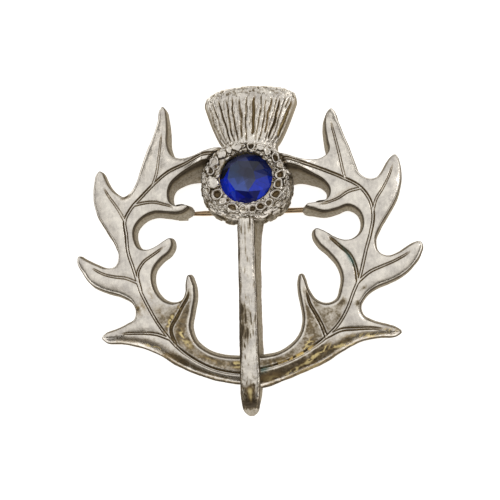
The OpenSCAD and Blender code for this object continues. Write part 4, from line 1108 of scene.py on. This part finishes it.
def stone():
    verts, faces, tones = [], [], []

    def corners(points):
        """Add points, and give their numbers."""
        verts.extend(points)
        return list(range(len(verts) - len(points), len(verts)))

    def ring(r, z, n):
        return corners([(r * math.cos(a), r * math.sin(a), z) for a in np.arange(n) * 2 * math.pi / n])

    def facet(loop, *tone):
        """A facet with one tone, or one a corner."""
        faces.append(tuple(loop))
        tones.extend(tone if len(tone) > 1 else tone * len(loop))

    def softened(own, *meeting):
        """A corner's tone: part its facet's own, and part the mean of those that meet there."""
        return tuple(0.4 * np.array(own) + 0.6 * np.mean(meeting, axis=0))

    def crown_tone(a, k):
        turn = math.degrees(a) % 360
        return next(pair[k % 2] for end, *pair in crown_tones if turn < end)

    girdle = ring(STONE_R, 0, 16)
    under = ring(STONE_R, -GIRDLE_H, 16)
    mid = ring(MID_R, CROWN_H * 0.5, 8)
    table = corners([(x, y, CROWN_H) for x, y in table_corners])
    culet = ring(CULET_R, -GIRDLE_H - PAVILION_H, 8)
    for i in range(8):
        h, j = (i - 1) % 8, (i + 1) % 8
        one, two, three = 2 * i, 2 * i + 1, (2 * i + 2) % 16
        a = 2 * math.pi * i / 8
        facet((table[h], mid[i], table[i]), NIGHT if i == 1 else crown_tone(a + 0.1, i + 1))
        facet((table[i], mid[i], girdle[two]), crown_tone(a + 0.25, i))
        facet((table[i], girdle[two], mid[j]), crown_tone(a + 0.5, i + 1))
        facet((mid[i], girdle[one], girdle[two]), crown_tone(a + 0.2, i + 1))
        facet((mid[i], girdle[one - 1], girdle[one]), crown_tone(a - 0.2, i))
        facet((culet[i], culet[j], under[three], under[two], under[one]), DEEP)
    for i in range(16):
        j = (i + 1) % 16
        facet((girdle[i], under[i], under[j], girdle[j]), DEEP)
    facet(culet[::-1], DEEP)
    # The table: wedges round an inner ring, and a core of triangles
    hub_x, hub_y = HUB_SHIFT
    hub = corners([(x * k + hub_x, y * k + hub_y, CROWN_H) for k, (x, y) in zip(core_shares, table_corners)])
    centre = corners([(*CORE_MIDDLE, CROWN_H)])[0]
    for i in range(8):
        h, j = (i - 1) % 8, (i + 1) % 8
        before, after = (wedge[h], wedge[i]), (wedge[i], wedge[j])
        hub_before, hub_after = before + (core[h], core[i]), after + (core[i], core[j])
        meeting = (before, after, hub_after, hub_before)
        facet((table[i], table[j], hub[j], hub[i]), *(softened(wedge[i], *m) for m in meeting))
        meeting = (hub_before, hub_after, core)
        facet((hub[i], hub[j], centre), *(softened(core[i], *m) for m in meeting))
    tilt_x, tilt_y = (math.radians(t) for t in STONE_TILT)
    tilt = Matrix.Rotation(tilt_y, 3, "Y") @ Matrix.Rotation(tilt_x, 3, "X")
    place = Vector(STONE_AT) + Vector((0, 0, BULB_BASE))
    obj = mesh_object("stone_cut", [(tilt @ Vector(v)) + place for v in verts], faces)
    painted(obj, "tone", "CORNER", [(*tone, 1) for tone in tones])
    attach(obj, "brooch")
    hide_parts("stone")
    return obj


# Materials
class Nodes:
    """Short names for building the node tree of a material or a world."""

    def __init__(self, owner, shader="Principled BSDF", space="Object"):
        owner.use_nodes = True
        self.owner = owner
        self.tree = owner.node_tree
        self.shader = self.tree.nodes[shader]
        self.place = self.add("ShaderNodeTexCoord").outputs[space]

    def add(self, kind, **values):
        node = self.tree.nodes.new(kind)
        for key, value in values.items():
            setattr(node, key, value)
        return node

    def put(self, node, name, value):
        """Link a value to a node's input, or set it there where it is a plain one."""
        if isinstance(value, bpy.types.NodeSocket):
            self.tree.links.new(value, node.inputs[name])
        else:
            node.inputs[name].default_value = value

    def shade(self, name, value):
        self.put(self.shader, name, value)

    def split(self, kind, value):
        node = self.add(kind)
        self.put(node, 0, value)
        return node.outputs

    def noise(self, size, detail, rough, stretch=None):
        place = self.place
        if stretch:
            mapping = self.add("ShaderNodeMapping")
            self.put(mapping, "Scale", stretch)
            self.put(mapping, "Vector", place)
            place = mapping.outputs["Vector"]
        node = self.add("ShaderNodeTexNoise")
        for name, value in (("Vector", place), ("Scale", 1 / (size * MM)), ("Detail", detail),
                            ("Roughness", rough)):
            self.put(node, name, value)
        return node.outputs["Fac"]

    def ramp(self, value, stops):
        node = self.add("ShaderNodeValToRGB")
        elements = node.color_ramp.elements
        while len(elements) < len(stops):
            elements.new(0.5)
        for element, (at, colour) in zip(elements, stops):
            element.position = at
            element.color = (*colour, 1) if isinstance(colour, tuple) else (colour, colour, colour, 1)
        self.put(node, "Fac", value)
        return node.outputs["Color"]

    def mix(self, share, a, b):
        node = self.add("ShaderNodeMix", data_type="RGBA")
        self.put(node, 0, share)
        for name, value in ((6, a), (7, b)):
            self.put(node, name, (*value, 1) if isinstance(value, tuple) else value)
        return node.outputs[2]

    def math(self, kind, a, b=0.0, clamp=False):
        node = self.add("ShaderNodeMath", operation=kind, use_clamp=clamp)
        self.put(node, 0, a)
        self.put(node, 1, b)
        return node.outputs[0]

    def total(self, start, *parts):
        """A value with others added to it, each by its weight."""
        for value, weight in parts:
            start = self.math("ADD", start, self.math("MULTIPLY", value, weight))
        return start

    def bump(self, height, distance, strength, before=None):
        node = self.add("ShaderNodeBump")
        self.put(node, "Strength", strength)
        self.put(node, "Distance", distance * MM)
        self.put(node, "Height", height)
        if before is not None:
            self.put(node, "Normal", before)
        return node.outputs["Normal"]


SILVER = (0.915, 0.866, 0.785)
SILVER_DULL = (0.52, 0.487, 0.457)
# The patina and tarnish colours also paint shade, the gold colour also paints gold reflections, and the two
# wall colours paint shade on the dull walls
PATINA_AND_SHADE = (0.34, 0.275, 0.18)
TARNISH_AND_SHADE = (0.085, 0.064, 0.04)
BROWN_STAIN = (0.42, 0.28, 0.11)
GOLD_STAIN_AND_REFLECTION = (1, 0.82, 0.4)
VERDIGRIS = (0.03, 0.16, 0.15)
EDGE_TINT = (0.6, 0.57, 0.52)
WALL_METAL_SHADED = (0.43, 0.385, 0.31)
WALL_DARK_SHADED = (0.19, 0.158, 0.11)
STEEL, STEEL_BROWN = (0.5, 0.38, 0.24), (0.3, 0.19, 0.1)


def silver_material(name, roughness):
    """Cast metal: clouded silver, with the tarnish, gold and verdigris of its marks, and duller
    walls. The tarnish also holds painted shade, the gold painted gold reflections, and the walls are painted
    darker for shade."""
    m = Nodes(bpy.data.materials.new(name))
    marks = m.add("ShaderNodeAttribute", attribute_name="marks")
    tarnish_and_shade, gold, green = m.split("ShaderNodeSeparateColor", marks.outputs["Color"])
    wall = marks.outputs["Alpha"]
    cloud = m.noise(2, 3, 0.5)
    fine = m.noise(0.35, 4, 0.6)
    drawn = m.noise(0.45, 4, 0.7, (1, 0.22, 1))
    patch = m.total(0.0, (cloud, 0.55), (m.noise(0.5, 4, 0.65), 0.2), (drawn, 0.25))
    colour = m.mix(m.ramp(patch, [(0.38, 0.0), (0.68, 1.0)]), SILVER, SILVER_DULL)
    # The walls' colours: dull unpolished metal, painted darker for shade
    wall_colour_and_shade = m.mix(m.ramp(fine, [(0.35, 0.0), (0.7, 1.0)]), WALL_METAL_SHADED, WALL_DARK_SHADED)
    colour = m.mix(wall, colour, wall_colour_and_shade)
    # Tarnish, with the painted shade and dark reflections that the marks carry
    flaked = m.ramp(fine, [(0.3, 0.06), (0.7, 0.42)])
    tarnish_and_shade_kept = m.math("SUBTRACT", m.math("MULTIPLY", tarnish_and_shade, 1.6), flaked, clamp=True)
    patina_and_shade = m.ramp(tarnish_and_shade_kept, [(0.25, PATINA_AND_SHADE), (0.9, TARNISH_AND_SHADE)])
    colour = m.mix(m.ramp(tarnish_and_shade_kept, [(0.0, 0.0), (0.55, 1.0)]), colour, patina_and_shade)
    # Gold stains, and painted gold reflections
    gold_stain_and_reflection = m.ramp(gold, [(0.35, BROWN_STAIN), (0.7, GOLD_STAIN_AND_REFLECTION)])
    colour = m.mix(m.math("MULTIPLY", gold, 0.9, clamp=True), colour, gold_stain_and_reflection)
    m.shade("Base Color", m.mix(green, colour, VERDIGRIS))
    matt = m.total(0.0, (green, 0.7), (tarnish_and_shade_kept, 0.35), (gold, 0.35))
    m.shade("Metallic", m.math("SUBTRACT", 1.0, matt, clamp=True))
    m.shade("Specular Tint", (*EDGE_TINT, 1))
    rough = m.total(roughness, (cloud, 0.14), (wall, 0.28), (tarnish_and_shade_kept, 0.2))
    m.shade("Roughness", rough)
    hammered = m.bump(m.noise(0.7, 4, 0.6), 0.06, 0.7)
    grain = m.bump(m.noise(0.13, 3, 0.6), 0.006, 0.45, hammered)
    m.shade("Normal", m.bump(m.noise(0.3, 2, 0.5, (1, 0.12, 1)), 0.006, 0.35, grain))
    return m.owner


def stone_material():
    """Blue glass: each corner's tone, which paints reflections and the light inside the glass, broken up by
    cells and noise, with a weak painted glow of its own for the light that cut glass sends back."""
    m = Nodes(bpy.data.materials.new("blue_glass_cut"))
    tone = m.add("ShaderNodeAttribute", attribute_name="tone").outputs["Color"]
    cells = m.add("ShaderNodeTexVoronoi")
    m.put(cells, "Vector", m.place)
    m.put(cells, "Scale", 1 / (1.1 * MM))
    cell = m.split("ShaderNodeSeparateColor", cells.outputs["Color"])[0]
    tinted = m.add("ShaderNodeVectorMath", operation="SCALE")
    m.put(tinted, 0, tone)
    m.put(tinted, "Scale", m.total(0.55, (cell, 0.45), (m.noise(0.5, 3, 0.6), 0.3)))
    for name, value in (("Base Color", tinted.outputs[0]), ("Emission Color", tinted.outputs[0]),
                        ("Emission Strength", 0.18), ("Metallic", 0.0), ("IOR", 1.48)):
        m.shade(name, value)
    m.shade("Roughness", m.ramp(m.noise(0.25, 3, 0.6), [(0.4, 0.02), (0.75, 0.07)]))
    return m.owner


def pin_material():
    """Drawn steel wire with a brown bloom."""
    m = Nodes(bpy.data.materials.new("pin_steel"))
    bloom = m.ramp(m.noise(1.5, 3, 0.6), [(0.35, 0.0), (0.7, 1.0)])
    m.shade("Base Color", m.mix(bloom, STEEL, STEEL_BROWN))
    m.shade("Metallic", 1.0)
    m.shade("Roughness", m.ramp(m.noise(0.4, 3, 0.6), [(0.3, 0.14), (0.8, 0.28)]))
    m.shade("Normal", m.bump(m.noise(0.12, 2, 0.5, (0.05, 1, 1)), 0.004, 0.5))
    return m.owner


satin = silver_material("cast_silver_satin", 0.16)
bright = silver_material("cast_silver_bright", 0.13)
casting_pieces = [
    wing("wing_left", left_main, left_lobes, left_finish, 1, 1),
    wing("wing_right", right_main, right_lobes, right_finish, -1, 2),
    bulb(), head(), stem(),
    fitting("pin_hinge_lugs", build_hinge), fitting("pin_clip", build_clip)]
for obj in casting_pieces:
    obj.data.materials.append(bright if obj.name in ("bulb", "flower_head") else satin)
stone().data.materials.append(stone_material())
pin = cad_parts["pin"]
steel = pin_material()
pin.data.materials.clear()
pin.data.materials.append(steel)

# The floor
FLOOR_HALF = 2000
floor_corners = [(FLOOR_HALF * x, FLOOR_HALF * y, 0) for x, y in ((-1, -1), (1, -1), (1, 1), (-1, 1))]
floor = mesh_object("floor", floor_corners, [(0, 1, 2, 3)])
floor_look = Nodes(bpy.data.materials.new("pale_floor"))
for name, value in (("Base Color", (0.93, 0.93, 0.93, 1)), ("Roughness", 0.9), ("Specular IOR Level", 0.0),
                    ("Emission Color", (1, 1, 1, 1)), ("Emission Strength", 0.8)):
    floor_look.shade(name, value)
floor.data.materials.append(floor_look.owner)

# The world: light falls off from above towards the horizon, and most to the near side, which is low
# and warm
world = bpy.data.worlds.new("studio")
bpy.context.scene.world = world
sky = Nodes(world, "Background", "Generated")
east, north, up = sky.split("ShaderNodeSeparateXYZ", sky.place)
sideways = sky.math("ABSOLUTE", sky.math("ADD", east, 0.16))
lean = sky.total(up, (north, 0.4), (sideways, 0.3))
low_sky = sky.add("ShaderNodeMapRange")
sky.put(low_sky, "Value", up)
for name, value in (("From Min", 0.0), ("From Max", 0.4), ("To Min", 0.15), ("To Max", 0.745)):
    sky.put(low_sky, name, value)
height = sky.math("MULTIPLY", sky.math("ADD", lean, 0.3), low_sky.outputs[0])
sky.shade("Color", sky.ramp(height, [
    (0.0, (0.05, 0.04, 0.028)), (0.36, (0.1, 0.088, 0.067)), (0.54, (0.25, 0.23, 0.2)),
    (0.68, (0.48, 0.455, 0.42)), (0.8, (0.76, 0.74, 0.71)), (1.0, (0.87, 0.86, 0.84))]))
sky.shade("Strength", 1.0)


def soft_light(name, place, size, power, colour):
    """A round soft light that looks at the origin."""
    data = bpy.data.lights.new(name, "AREA")
    data.shape = "DISK"
    data.size = size
    data.energy = power
    data.color = colour
    obj = bpy.data.objects.new(name, data)
    obj.location = place
    obj.rotation_euler = (-Vector(place)).to_track_quat("-Z", "Y").to_euler()
    bpy.context.scene.collection.objects.link(obj)


soft_light("key", (-0.5, 0.6, 0.34), 0.3, 0.08, (1, 0.98, 0.95))
soft_light("fill", (0.7, 0.3, 0.33), 0.26, 0.46, (1, 0.97, 0.93))

# The camera: the photograph's frame is 500 pixels of 0.16 mm at the middle of the brooch
TARGET = Vector((0.08 * MM, 0, 4.5 * MM))
AWAY = 300 * MM
SLOPE = Vector((0.08, -0.1763, 1))
ROLL = 1.15
FRAME_WIDTH = 500 * 0.16 * MM
SENSOR_WIDTH = 36
camera_data = bpy.data.cameras.new("camera")
camera = bpy.data.objects.new("camera", camera_data)
eye = TARGET + SLOPE * AWAY
forward = (TARGET - eye).normalized()
right = forward.cross(Vector((0, 1, 0))).normalized()
spin = Matrix.Rotation(math.radians(ROLL), 3, forward)
axes = Matrix((spin @ right, spin @ right.cross(forward), -forward)).transposed().to_4x4()
camera.matrix_world = Matrix.Translation(eye) @ axes
camera_data.sensor_width = SENSOR_WIDTH
camera_data.lens = SENSOR_WIDTH * (eye - TARGET).length / FRAME_WIDTH
camera_data.clip_start = 0.005
camera_data.clip_end = 20
bpy.context.scene.collection.objects.link(camera)
bpy.context.scene.camera = camera
bpy.context.scene.view_settings.view_transform = "Standard"
